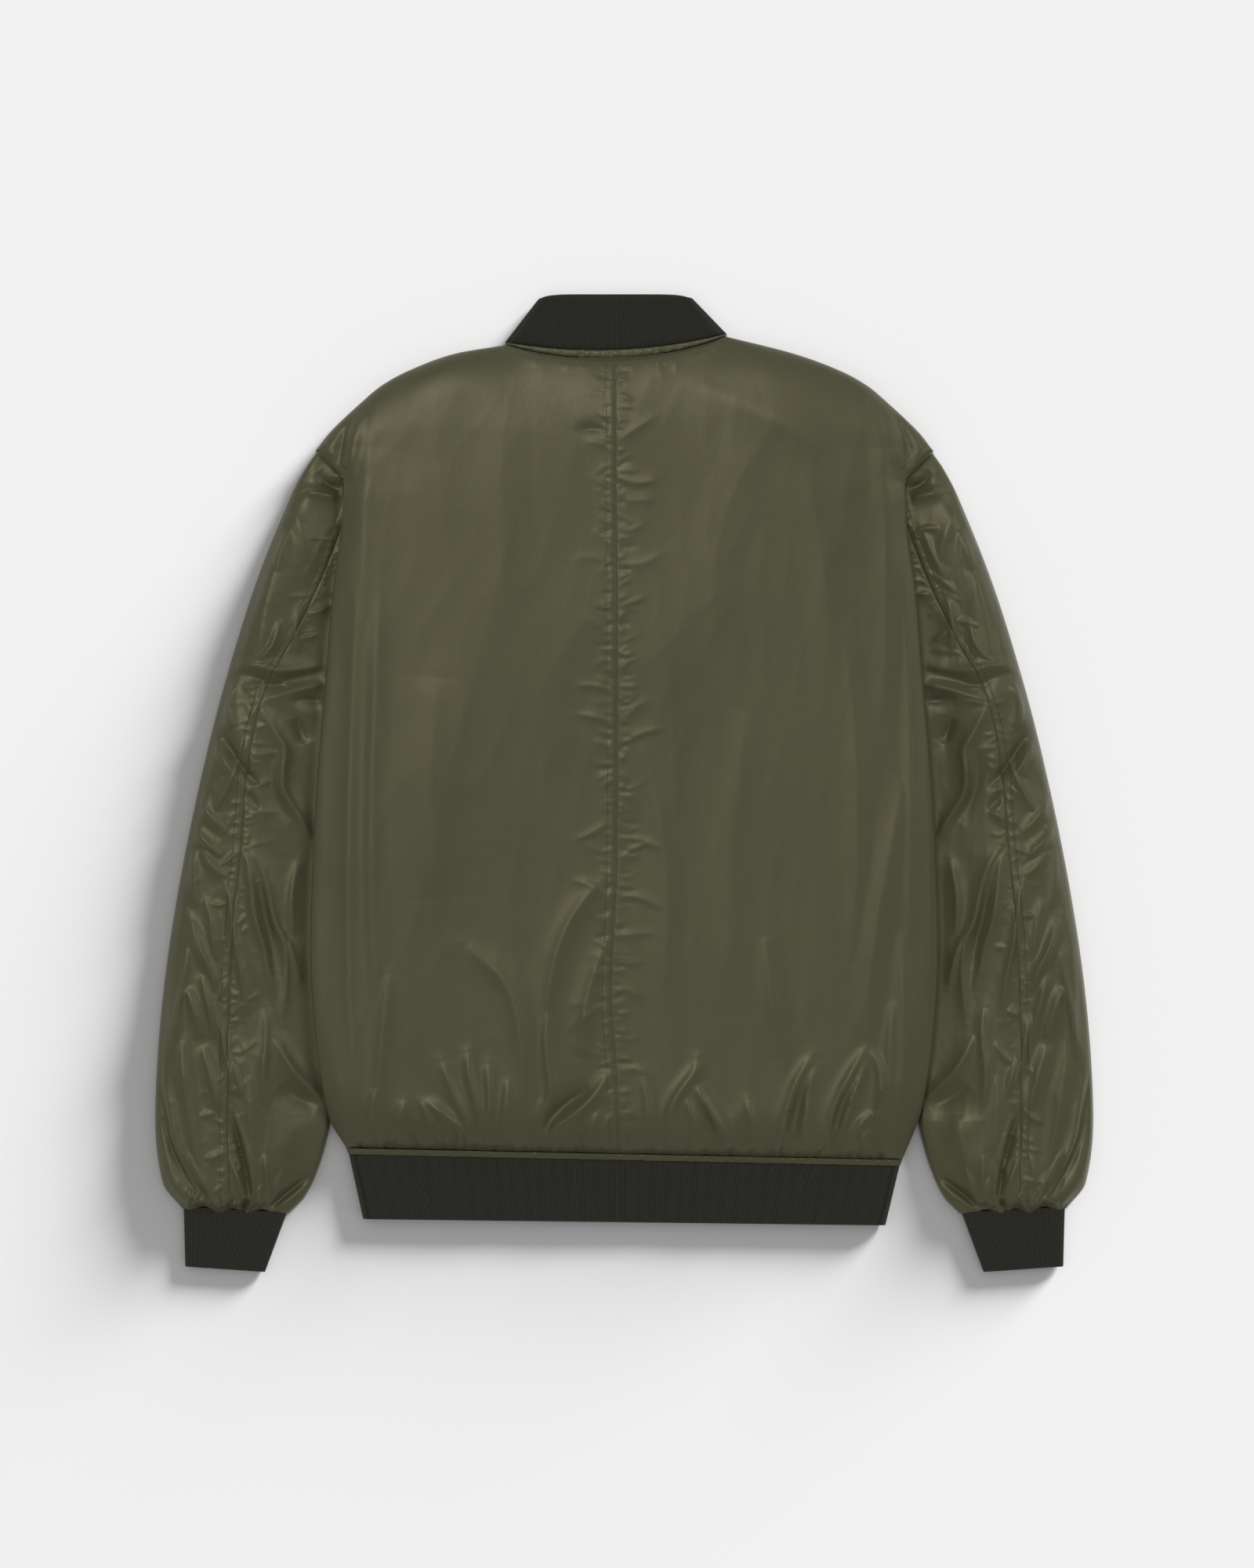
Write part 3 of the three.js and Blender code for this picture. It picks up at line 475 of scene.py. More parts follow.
def add_bump(tree, shader, height, distance, strength, under=None):
    """A bump of `distance` metres from a height, on top of another bump if there is one."""
    bump = add_node(tree, "ShaderNodeBump", Strength=strength, Distance=distance)
    tree.links.new(height, bump.inputs["Height"])
    if under is not None:
        tree.links.new(under, bump.inputs["Normal"])
    tree.links.new(bump.outputs["Normal"], shader.inputs["Normal"])
    return bump.outputs["Normal"]


def rough_range(tree, shader, scale, low, high):
    """Roughness between two values by a noise, for handled and creased places."""
    noise = add_node(tree, "ShaderNodeTexNoise", Scale=scale, Detail=4.0)
    tree.links.new(object_space(tree), noise.inputs["Vector"])
    spread = add_node(tree, "ShaderNodeMapRange", From_Min=0.3, From_Max=0.7, To_Min=low, To_Max=high)
    tree.links.new(noise.outputs["Fac"], spread.inputs["Value"])
    tree.links.new(spread.outputs["Result"], shader.inputs["Roughness"])


print("material helpers ready")

# %% Satin nylon of the shell
NYLON = (0.066, 0.064, 0.036)


def satin_nylon(name, turn):
    """Nylon with its weave turned to the grain of its panel."""
    material, tree, shader = new_material(name, NYLON, 0.42, specular=0.6)
    shader.inputs["Specular Tint"].default_value = (0.86, 0.82, 0.52, 1)
    vary_color(tree, shader, NYLON, 9, 0.07, (1, 0.4, 1))
    rough_range(tree, shader, 30, 0.36, 0.44)
    shader.inputs["Sheen Weight"].default_value = 0.08
    shader.inputs["Sheen Roughness"].default_value = 0.5
    shader.inputs["Sheen Tint"].default_value = (0.80, 0.78, 0.50, 1)
    wrinkle = add_node(tree, "ShaderNodeTexNoise", Scale=190.0, Detail=5.0, Roughness=0.6)
    tree.links.new(object_space(tree, (1, 0.45, 1), turn), wrinkle.inputs["Vector"])
    soft = add_bump(tree, shader, wrinkle.outputs["Fac"], 0.0006, 0.22)
    twill = add_node(tree, "ShaderNodeTexWave", bands_direction="DIAGONAL", Scale=420.0,
                     Distortion=0.6, Detail=1.0)
    tree.links.new(object_space(tree, (1, 1, 1), turn), twill.inputs["Vector"])
    add_bump(tree, shader, twill.outputs["Fac"], 0.00006, 0.35, soft)
    return material


nylon = satin_nylon("satin_nylon", 0.0)
nylon_sleeve = {-1: satin_nylon("satin_nylon_left_sleeve", -0.2),
                1: satin_nylon("satin_nylon_right_sleeve", 0.2)}
print("shell:", nylon.name, "and two sleeves on their own grain")

# %% Rib knit, tape, thread and metal
RIB_WOOL = (0.0190, 0.0195, 0.0145)
# Painted light on the ribs: the wool's colour is darkened between the ribs as painted shade and
# lightened on their crests as a painted highlight, by the attribute rib_crest.
RIB_PAINTED_SHADE, RIB_PAINTED_HIGHLIGHT = 0.25, 1.75  # factors on the wool's colour
rib_knit, tree, shader = new_material("rib_knit", RIB_WOOL, 0.88, specular=0.25)
crest = add_node(tree, "ShaderNodeAttribute", attribute_name="rib_crest")
painted_rib_light = tree.nodes.new("ShaderNodeValToRGB")
for stop, place, factor in zip(painted_rib_light.color_ramp.elements, (0.25, 1.0), (RIB_PAINTED_SHADE, RIB_PAINTED_HIGHLIGHT)):
    stop.position = place
    stop.color = (*(channel * factor for channel in RIB_WOOL), 1)
tree.links.new(crest.outputs["Fac"], painted_rib_light.inputs["Fac"])
tree.links.new(painted_rib_light.outputs["Color"], shader.inputs["Base Color"])
shader.inputs["Sheen Weight"].default_value = 0.15
shader.inputs["Sheen Roughness"].default_value = 0.5
shader.inputs["Sheen Tint"].default_value = (0.5, 0.52, 0.42, 1)
fuzz = add_node(tree, "ShaderNodeTexNoise", Scale=2600.0, Detail=3.0)
tree.links.new(object_space(tree, (1, 0.5, 1)), fuzz.inputs["Vector"])
add_bump(tree, shader, fuzz.outputs["Fac"], 0.00035, 0.55)

TAPE_COTTON = (0.034, 0.036, 0.025)
woven_tape, tree, shader = new_material("woven_tape", TAPE_COTTON, 0.85, specular=0.3)
vary_color(tree, shader, TAPE_COTTON, 400, 0.15)
weave = add_node(tree, "ShaderNodeTexWave", Scale=900.0, Distortion=0.3)
tree.links.new(object_space(tree), weave.inputs["Vector"])
add_bump(tree, shader, weave.outputs["Fac"], 0.0002, 0.5)

THREAD_OLIVE = (0.050, 0.051, 0.030)
thread, tree, shader = new_material("sewing_thread", THREAD_OLIVE, 0.6, specular=0.4)
vary_color(tree, shader, THREAD_OLIVE, 900, 0.2)

OLD_NICKEL = (0.42, 0.40, 0.36)
nickel, tree, shader = new_material("antique_nickel", OLD_NICKEL, 0.34, metallic=1.0)
vary_color(tree, shader, OLD_NICKEL, 260, 0.18)
rough_range(tree, shader, 500, 0.25, 0.5)
print("other materials:", rib_knit.name, woven_tape.name, thread.name, nickel.name)

# %% [markdown]
# ## The layers of the body
# The fronts lie on the table, the back lies on them, and both sides of the body ride up over
# the sleeves. The heights below are those of the frame: a lift where a sleeve lies
# underneath, a floor under the back, and a fullness that is 0 at the seams and 1 in the
# middle of a panel.

# %% Heights of the layers
LIFT_STARTS = (-286, -238)  # y between which the body climbs onto the sleeve, from the hem up
LIFT_ENDS = (224, 256)      # and comes down from it at the armhole
SLEEVE_FREE = -272          # below this y the sleeve is clear of the body
LIFT = 10.7
LIFT_FADE = 30
FRONT_THICKNESS = 5.6
FRONT_ROUNDING = 5
SIDE_ROUNDING = 14
HEM_ROUNDING = 42


def lift_at(y, distance):
    """Rise of the body's side over the sleeve under it, gone 30 mm past the sleeve's edge."""
    overlap = np.maximum(0, side_line(np.maximum(y, SLEEVE_FREE)) - sleeve_inner(y))
    present = (1 - ease(*LIFT_ENDS, y)) * ease(*LIFT_STARTS, y)
    return LIFT * present * (1 - ease(overlap, overlap + LIFT_FADE, distance))


def fullness(distance, hem_distance, neck_distance):
    """Share of the full height: rounded at the side, above the hem and below the neck."""
    side = 0.4 * puff(distance, 34) + 0.6 * puff(distance, 120)
    return side * puff(hem_distance, HEM_ROUNDING) * mix(0.35, 1, puff(neck_distance, 70))


def back_floor(x, y, distance, rise):
    """Underside of the back: over the fronts and over the zip, whichever is higher."""
    over_front = 1.07 * lift_at(y, distance) + mix(6.7, 10, rise)
    over_zip = mix(7.3, 10, puff(y - hem_line(x), HEM_ROUNDING))
    return np.maximum(over_front, over_zip * ease(0, SIDE_ROUNDING, distance))


ARMHOLE_TOP = 266  # y of the corner where the shoulder meets the armhole


def rounded_nearer(one, other):
    """The smaller of two distances, less a rounding where they are alike: a quarter of itself
    times the square of how alike they are, so that no ridge shows between them."""
    least = np.minimum(one, other)
    alike = np.clip(1 - np.abs(one - other) / np.maximum(least, 1e-6), 0, 1)
    return least * (1 - alike ** 2 / 4)


def body_grid(sign, row_heights, column_shares, middle_x, bottom_y, top_y, line):
    """x, y and distance from the outline of a panel's grid. Each row runs from the middle to
    the outline at its own height, tilted from the middle's height to the side's, and the
    last rows take the bend of the neck line. The distance is to the nearer of the outline's
    lower part and its shoulder."""
    edge, hem_y, neck_y = outline(sign)
    height = row_heights[:, None]
    t = (height - hem_y) / (neck_y - hem_y)
    middle_y = mix(bottom_y, top_y, t)
    start = sign * middle_x(middle_y)
    x = sign * mix(start, edge(height), column_shares)
    end_x = sign * NECK_HALF[sign]
    neck_x = mix(float(sign * start[-1, 0]), end_x, column_shares)
    low, high = panel_top(line, neck_x[0]), panel_top(line, np.array(end_x))
    bend = (panel_top(line, neck_x) - low) / (high - low)
    level = mix(column_shares, np.minimum(1, column_shares / 0.65), ease(0, 0.12, t))
    y = mix(middle_y, height, mix(level, bend, ease(0.8, 1, t)))
    reaches = []
    for rim in (np.linspace(hem_y, ARMHOLE_TOP, 90), np.linspace(ARMHOLE_TOP, neck_y, 60)):
        path = np.stack([sign * edge(rim), rim], -1)
        reaches.append(nearest_on_path(path, x.ravel(), y.ravel())[0].reshape(x.shape))
    distance = rounded_nearer(*reaches)
    distance[:, -1] = 0
    return x, y, distance


def even_rows(sign, cell):
    """Row heights at even steps along the outline, so that the shoulder has as many as the
    side. A run across counts for 0.55 of a run up."""
    edge, hem_y, neck_y = outline(sign)
    y = np.linspace(hem_y, neck_y, 6000)
    length = np.concatenate([[0], np.cumsum(np.hypot(np.diff(y), 0.55 * np.diff(edge(y))))])
    return np.interp(np.linspace(0, length[-1], int(length[-1] / cell)), length, y)


print("rows up one side:", len(even_rows(1, 1.5)))

# %% [markdown]
# ## Folds of the back
# The wadding keeps the middle of the back smooth. Folds start where cloth is gathered: along
# the centre seam, where two rows of stitches draw it in every 6 to 9 mm, and along the hem,
# where the ribbing pulls the panel narrower than it was cut. The long ones fan up from the
# hem in stars and forks, and each is placed here one by one.

# %% Folds placed on the back
BACK_FOLDS = [
    crease([(-112, -294), (-107, -253), (-109, -223)], width=3.2, height=1.8),
    crease([(-112, -294), (-116, -263), (-123, -238), (-126, -214)], width=3.5, height=2.0),
    crease([(-114, -294), (-128, -267), (-140, -238), (-146, -221)], width=4, height=1.8),
    crease([(-116, -293), (-132, -275), (-146, -263), (-161, -253)], width=3.5, height=2.0),
    crease([(-164, -253), (-158, -263), (-154, -278), (-141, -290)], width=3, height=1.6),
    crease([(-176, -253), (-181, -272), (-183, -291)], width=4, height=1.6),
    crease([(-106, -284), (-103, -294)], width=2, height=1.6),
    crease([(-129, -128), (-95, -156), (-85, -183), (-80, -222), (-82, -264)], width=7, height=1.5),
    crease([(-67, -288), (-70, -280), (-65, -263), (-57, -249), (-63, -215), (-61, -177)],
           width=3.5, height=2.0),
    crease([(-67, -288), (-54, -275), (-39, -264), (-24, -250), (-13, -233)], width=3.8, height=2.6),
    crease([(-65, -282), (-57, -266), (-42, -253), (-26, -244)], width=4.5, height=-2.4),
    crease([(-15, -76), (-41, -102), (-57, -143), (-63, -190)], width=6, height=1.6),
    crease([(-15, -128), (-28, -163), (-34, -197), (-33, -221)], width=5, height=1.5),
    crease([(-14, 282), (-27, 284), (-39, 282)], width=3.5, height=-1.0),
    crease([(58, -219), (58, -229), (45, -245), (38, -258), (35, -270), (37, -292)],
           width=3.6, height=2.2),
    crease([(57, -241), (65, -257), (74, -271), (81, -284), (84, -297)], width=3.2, height=2.2),
    crease([(49, -249), (56, -269), (65, -289)], width=3.2, height=1.6),
    crease([(61, -255), (69, -274), (77, -292)], width=3.5, height=-1.8),
    crease([(150, -217), (138, -237), (131, -257), (126, -279), (119, -299)], width=3.4, height=2.2),
    crease([(153, -226), (146, -247), (146, -262), (142, -298)], width=3.2, height=2.0),
    crease([(145, -240), (137, -265), (133, -292)], width=5, height=-1.6),
    crease([(226, 11), (213, -54), (203, -105), (196, -158), (194, -210)], width=8, height=1.5),
    crease([(194, -210), (184, -227), (172, -249), (165, -266), (163, -281), (155, -299)],
           width=3.4, height=2.4),
    crease([(194, -212), (191, -230), (182, -251), (177, -270), (168, -297)], width=3, height=2.0),
    crease([(196, -212), (204, -224), (206, -241), (203, -264), (204, -299)], width=3.4, height=2.4),
    crease([(177, -244), (170, -265), (165, -293)], width=4, height=-1.8),
    crease([(201, -261), (189, -272), (180, -284), (170, -298)], width=3, height=1.8),
    crease([(198, -276), (185, -293)], width=2.6, height=1.4),
    crease([(223, -114), (224, -190), (223, -232), (215, -292)], width=6, height=1.6),
    crease([(238, 188), (243, 62), (246, -64), (243, -190), (235, -253)], width=5, height=1.2),
    crease([(-212, 188), (-218, 62), (-221, -64), (-220, -190), (-213, -265)], width=6, height=1.3),
    crease([(-201, 302), (-208, 226), (-211, 125)], width=9, height=1.0),
    crease([(203, 314), (210, 239), (211, 151), (209, 37)], width=9, height=1.1),
    crease([(40, 327), (97, 302), (153, 277), (191, 226)], width=18, height=1.3),
    crease([(103, 62), (87, -13), (81, -101), (84, -190)], width=16, height=1.2),
    crease([(-149, 88), (-157, -1), (-149, -95)], width=16, height=1.2),
    crease([(219, 302), (224, 286), (228, 268), (231, 248)], width=4.5, height=-2.6),
    crease([(210, 306), (216, 284), (220, 262), (222, 240)], width=6, height=1.4),
    crease([(-220, 296), (-225, 280), (-228, 264), (-230, 246)], width=4.5, height=-2.6),
    crease([(-211, 300), (-216, 280), (-219, 260), (-221, 238)], width=6, height=1.4),
    crease([(-198, -240), (-203, -268), (-206, -294)], width=3.6, height=1.8),
    crease([(-188, -150), (-194, -205), (-198, -262)], width=5, height=1.3),
    crease([(-92, -236), (-95, -262), (-97, -292)], width=3, height=1.5),
    crease([(-20, -262), (-27, -278), (-36, -292)], width=2.6, height=1.5),
    crease([(14, -232), (20, -258), (18, -292)], width=4, height=1.4),
    crease([(98, -252), (103, -272), (104, -296)], width=3, height=1.7),
    crease([(112, -120), (118, -170), (128, -222)], width=6, height=1.2),
    crease([(216, -170), (212, -220), (214, -270)], width=4, height=1.7),
    crease([(178, 120), (186, 40), (188, -60), (180, -150)], width=7, height=1.1),
    crease([(224, 180), (229, 80), (230, -40), (228, -150)], width=5, height=1.2),
    crease([(-196, 160), (-201, 40), (-203, -90), (-197, -190)], width=6, height=1.1),
    crease([(12, 40), (30, -30), (36, -110), (30, -190)], width=9, height=0.9),
]
print(len(BACK_FOLDS), "folds on the back")

# %% Puckers at the seams of the back
rng = np.random.default_rng(7)
centre_path = [(float(centre_back(y)), y) for y in np.linspace(-296, 338, 60)]
PUCKERS = {}
for sign in (-1, 1):
    folds = seam_puckers(rng, centre_path, -sign, 7.5, 13, 1.6, 0.6, slant=0.1, gap=1.5)
    folds += seam_puckers(rng, centre_path, -sign, 26, 27, 2.6, 0.95, slant=0.25, gap=2)
    folds += seam_puckers(rng, centre_path, -sign, 15, 12, 1.6, -0.7, slant=-0.1, gap=1)
    across = np.linspace(2, 222, 40) * sign
    hem_path = [(float(x), float(hem_line(x))) for x in across]
    folds += seam_puckers(rng, hem_path, sign, 7, 15, 2.0, -2.8, gap=-3)
    folds += seam_puckers(rng, hem_path, sign, 10, 26, 2.4, 2.6, gap=-2)
    folds += seam_puckers(rng, hem_path, sign, 31, 44, 4.5, 1.1, gap=2)
    across = np.linspace(NECK_MIDDLE + 2 * sign, sign * (NECK_HALF[sign] - 2), 30)
    neck_path = [(float(x), float(panel_top(neck_line, x))) for x in across]
    folds += seam_puckers(rng, neck_path, -sign, 5, 8, 1.4, 0.6, gap=0.6)
    folds += seam_puckers(rng, neck_path, -sign, 17, 17, 3, 0.7, gap=1)
    PUCKERS[sign] = folds
print("puckers:", {sign: len(folds) for sign, folds in PUCKERS.items()})

# %% [markdown]
# ## The back
# Two panels meet at a seam down the middle. The seam allowance is pressed to the left and
# caught by a second row of stitches, so there is a soft step beside the seam line. The grid
# is finer at the seam, where the puckers are, and at the side, where the panel turns down.

# %% Back panels
EDGE_HEIGHT = 8.6
SIDE_RISE = 11.3        # more height of the edge where it lies on the sleeve
SIDE_FALLS = (224, 280)
BACK_CROWN = 29.5
BACK_THICKNESS = 1.2
SECOND_ROW = 7.5        # mm from the centre seam to its second row of stitches
SEAM_GAP = 0.06


def back_height(sign, x, y, distance, rng):
    """Height of the back: the frame's form, rounded down to its seams, then the folds, the
    centre seam with its allowance, and a soft unevenness."""
    hem = y - hem_line(x)
    neck = panel_top(neck_line, np.clip(x, -NECK_HALF[-1], NECK_HALF[1])) - y
    neck = neck + 0.8 * np.maximum(0, np.where(x < 0, -x - NECK_HALF[-1], x - NECK_HALF[1]))
    rise = fullness(distance, hem, neck)
    edge_height = EDGE_HEIGHT + SIDE_RISE * (1 - ease(*SIDE_FALLS, y)) * ease(*LIFT_STARTS, y)
    floor = back_floor(x, y, distance, rise) + BACK_THICKNESS
    top = np.maximum(mix(edge_height, BACK_CROWN, rise), floor)
    top = top - 1.9 * (1 - puff(distance, 1.6))
    top = mix(np.minimum(top, 11.0), top, puff(neck, 8))
    top = mix(np.minimum(top, 10.4), top, puff(hem, 3))
    inside = ease(0, SIDE_ROUNDING, distance)
    folds = 2.1 * fold_height(BACK_FOLDS, x, y) * ease(-2, 6, hem)
    folds = folds + 0.95 * fold_height(PUCKERS[sign], x, y) * ease(-2, 1, hem)
    folds = folds * np.minimum(inside, ease(-1, 3, neck))
    slow = 0.6 * crumple(rng, x, y, 240, 6, 2.4, 1.5)
    slow = slow + 0.5 * crumple(rng, x, y, 95, 7, 3.2, 1.5)
    slow = slow + 0.10 * crumple(rng, x, y, 40, 7, 2.5, 1.45)
    seam = x - centre_back(y)
    groove = -0.45 * np.exp(-(seam / 0.8) ** 2)
    allowance = 0.3 * ease(-9.5, -6.5, seam) * (1 - ease(-2.5, 0, seam))
    groove = groove - 0.3 * np.exp(-((seam + 1.6) / 0.8) ** 2)
    groove = groove - 0.4 * np.exp(-((seam + SECOND_ROW) / 0.9) ** 2)
    return top + folds + (slow + groove + allowance) * inside


SURFACE = {}
for sign, side in ((-1, "left"), (1, "right")):
    columns = shares(244, 2.1, start=0.95, end=0.32, reach=16)
    x, y, distance = body_grid(sign, even_rows(sign, 1.5), columns,
                               lambda y: centre_back(y) + sign * SEAM_GAP, float(hem_line(-3.8)),
                               float(panel_top(neck_line, np.array(NECK_MIDDLE))), neck_line)
    z = back_height(sign, x, y, distance, np.random.default_rng(31))
    SURFACE[f"back_{side}"] = np.stack([x, y, z], -1)
    piece = sew(f"back_panel_{side}", SURFACE[f"back_{side}"], nylon, "shell", wall=0.9, every=8,
                drop=ease(4, 14, distance))
    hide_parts(f"back_{side}")

# %% Front panels, plain because they lie on the table
ZIP_HALF = 4.6  # the fronts end this far from the zip's middle
for sign, side in ((-1, "left"), (1, "right")):
    columns = shares(240, 9, end=0.6, reach=20)
    zip_edge = np.array(sign * ZIP_HALF)
    x, y, distance = body_grid(sign, even_rows(sign, 9), columns, lambda y: zip_edge + 0 * y,
                               float(hem_line(0)), float(panel_top(front_neck_line, zip_edge)),
                               front_neck_line)
    z = lift_at(y, distance) + (FRONT_THICKNESS - 0.1) * (1 - puff(distance, FRONT_ROUNDING))
    sag = np.maximum(waves(np.random.default_rng(5), x, y, 60), -1)
    shape = np.stack([x, y, z + 0.15 * (1 + sag)], -1)
    piece = sew(f"front_panel_{side}", shape[:, ::-1], nylon, "shell", wall=-0.9, every=2)
    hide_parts(f"front_{side}")

# %% [markdown]
# ## The sleeves
# A sleeve is a flattened tube of two pieces that meet at a seam on its back, where a row of
# stitches lies 6 mm to the outer side. It bends a little at the elbow, so cloth bunches there
# on the inner side, long folds run down the forearm, and the cloth blouses over the cuff.
# Left and right mirror each other closely, since the jacket was arranged with care. The head
# of the sleeve goes on a little under the body's edge, as it does into a seam, so no light
# shows between them.

# %% Folds placed on a sleeve, for the right one
SLEEVE_FOLDS = [
    crease([(247, 251), (240, 241), (227, 235)], width=3.5, height=-1.8),
    crease([(260, 236), (249, 233), (230, 230)], width=4, height=1.8),
    crease([(267, 221), (255, 195), (251, 169)], width=6, height=1.2),
    crease([(238, 209), (247, 185), (259, 160)], width=4, height=1.0),
    crease([(280, 176), (290, 132), (294, 94)], width=8, height=1.4),
    crease([(312, 88), (296, 86), (284, 77), (266, 84), (239, 92)], width=5, height=-1.9),
    crease([(290, 66), (275, 71), (256, 77), (239, 80)], width=4, height=1.6),
    crease([(267, 67), (252, 67), (238, 66)], width=4, height=-1.6),
    crease([(313, 93), (294, 95), (280, 90), (262, 91), (241, 94)], width=5, height=2.0),
    crease([(312, 80), (318, 66), (318, 53), (313, 43)], width=4, height=2.2),
    crease([(324, 40), (314, 25), (304, 9), (291, -4)], width=4, height=-2.4),
    crease([(329, 34), (319, 15), (308, -1)], width=4, height=1.8),
    crease([(303, -7), (298, -14), (293, -22)], width=3, height=-1.5),
    crease([(291, 62), (284, 49), (278, 37), (271, 27), (274, 9), (274, -7), (262, -26), (250, -46)],
           width=4.2, height=2.8),
    crease([(265, 53), (260, 42), (257, 31)], width=4.5, height=-2.2),
    crease([(283, 25), (284, 6), (280, -13), (267, -32)], width=5, height=-1.6),
    crease([(348, -33), (337, -46), (322, -60)], width=4, height=1.8),
    crease([(339, -53), (329, -69), (317, -76)], width=4, height=1.6),
    crease([(343, -10), (333, -26), (318, -41)], width=4, height=1.4),
    crease([(301, -52), (293, -62), (286, -81), (281, -112), (272, -127), (271, -152), (274, -193)],
           width=3.8, height=2.4),
    crease([(306, -55), (301, -63), (298, -91), (295, -112), (288, -132), (286, -149), (280, -169)],
           width=3.6, height=2.2),
    crease([(293, -76), (289, -101), (283, -127), (280, -152)], width=4, height=-1.5),
    crease([(278, -113), (269, -129), (264, -147), (261, -164)], width=3.6, height=1.8),
    crease([(346, -51), (345, -85), (341, -101)], width=4, height=1.4),
    crease([(348, -107), (344, -123), (337, -139), (330, -152), (327, -169)], width=4, height=2.2),
    crease([(337, -91), (331, -107), (329, -127), (327, -144)], width=3.6, height=1.5),
    crease([(339, -152), (333, -176), (327, -206)], width=4, height=1.8),
    crease([(355, -161), (346, -174), (339, -206)], width=4.5, height=2.0),
    crease([(355, -203), (355, -220), (349, -258), (344, -288), (337, -317)], width=5, height=1.8),
    crease([(376, -230), (371, -251), (366, -287), (356, -309), (337, -339)], width=4, height=-3.4),
    crease([(372, -230), (366, -253), (361, -285), (351, -307), (333, -336)], width=4, height=2.0),
    crease([(357, -295), (348, -313), (336, -332), (329, -343)], width=3.2, height=-2.6),
    crease([(352, -292), (343, -312), (332, -329), (324, -342)], width=3.5, height=1.6),
    crease([(339, -209), (333, -227), (329, -243), (324, -265)], width=4.5, height=1.6),
    crease([(315, -219), (308, -243), (305, -255)], width=3, height=1.8),
    crease([(315, -266), (308, -293), (303, -311), (300, -336)], width=3.2, height=-3.0),
    crease([(312, -264), (303, -292), (299, -314), (295, -340)], width=3.6, height=2.0),
    crease([(315, -302), (309, -318), (304, -335)], width=2.8, height=1.8),
    crease([(302, -332), (305, -338), (308, -345)], width=2.4, height=-4.0),
    crease([(299, -232), (299, -273), (296, -303)], width=6, height=1.4),
    crease([(281, -201), (269, -227), (252, -246), (242, -253)], width=5, height=2.4),
    crease([(276, -241), (261, -255), (246, -258)], width=8, height=-2.4),
    crease([(254, -316), (269, -328), (289, -345)], width=3, height=-2.6),
    crease([(257, -324), (271, -335), (284, -347)], width=3.5, height=1.6),
    crease([(267, -265), (270, -290), (280, -316)], width=9, height=1.6),
    crease([(372, -321), (367, -329), (359, -338)], width=3, height=-1.8),
    crease([(322, -70), (315, -96), (312, -128), (305, -160), (303, -190)], width=3.4, height=2.0),
    crease([(330, -178), (322, -200), (318, -226), (311, -246)], width=3.6, height=1.9),
    crease([(350, -130), (354, -160), (360, -190), (362, -222)], width=3.4, height=1.8),
    crease([(262, -60), (268, -92), (266, -124)], width=3.8, height=1.8),
    crease([(288, -178), (286, -204), (290, -232), (288, -262)], width=3.6, height=1.9),
    crease([(306, 30), (312, 8), (322, -12), (330, -24)], width=3.2, height=1.6),
    crease([(258, 150), (264, 128), (262, 104)], width=4, height=1.6),
    crease([(276, 132), (280, 112), (290, 100), (302, 96)], width=3.6, height=1.8),
    crease([(268, 204), (276, 188), (280, 166)], width=4, height=1.4),
    crease([(366, -262), (362, -286), (352, -304)], width=3.2, height=1.8),
    crease([(288, -296), (286, -318), (290, -340)], width=2.8, height=1.9),
    crease([(272, -300), (277, -320), (284, -336)], width=3, height=1.7),
]
print(len(SLEEVE_FOLDS), "folds on each sleeve")

# %% Sleeve form
CUFF_OUTER, CUFF_INNER = -342, -346.5  # y of the cuff seam at the outer and the inner fold
HEAD_INNER = 231.4
TUCK_FADE = 52       # mm in which a sleeve fills out beside the body
SLEEVE_CROWN = 22
SLEEVE_TUCKED = 9.8  # its height under the body
ROW_OFFSET = 6.2     # mm from the sleeve's seam to its stitches


def sleeve_form(level, u_of_row):
    """x, y and the row's outer x, width and seam share. A row runs from the outer fold, u = 0,
    to the inner one, u = 1; level is 0 at the cuff and 1 at the armhole."""
    outer_y, inner_y = mix(CUFF_OUTER, ARMHOLE_TOP, level), mix(CUFF_INNER, HEAD_INNER, level)
    outer_x = sleeve_outer(outer_y) - 0.3 * (level >= 1)
    inner_x = sleeve_inner(inner_y)
    seam = np.full_like(level, 0.5)
    for _ in range(4):
        seam = (outer_x - sleeve_seam(mix(outer_y, inner_y, seam))) / (outer_x - inner_x)
    u = u_of_row(seam, outer_x - inner_x)
    return mix(outer_x, inner_x, u), mix(outer_y, inner_y, u), u, outer_x - inner_x, seam


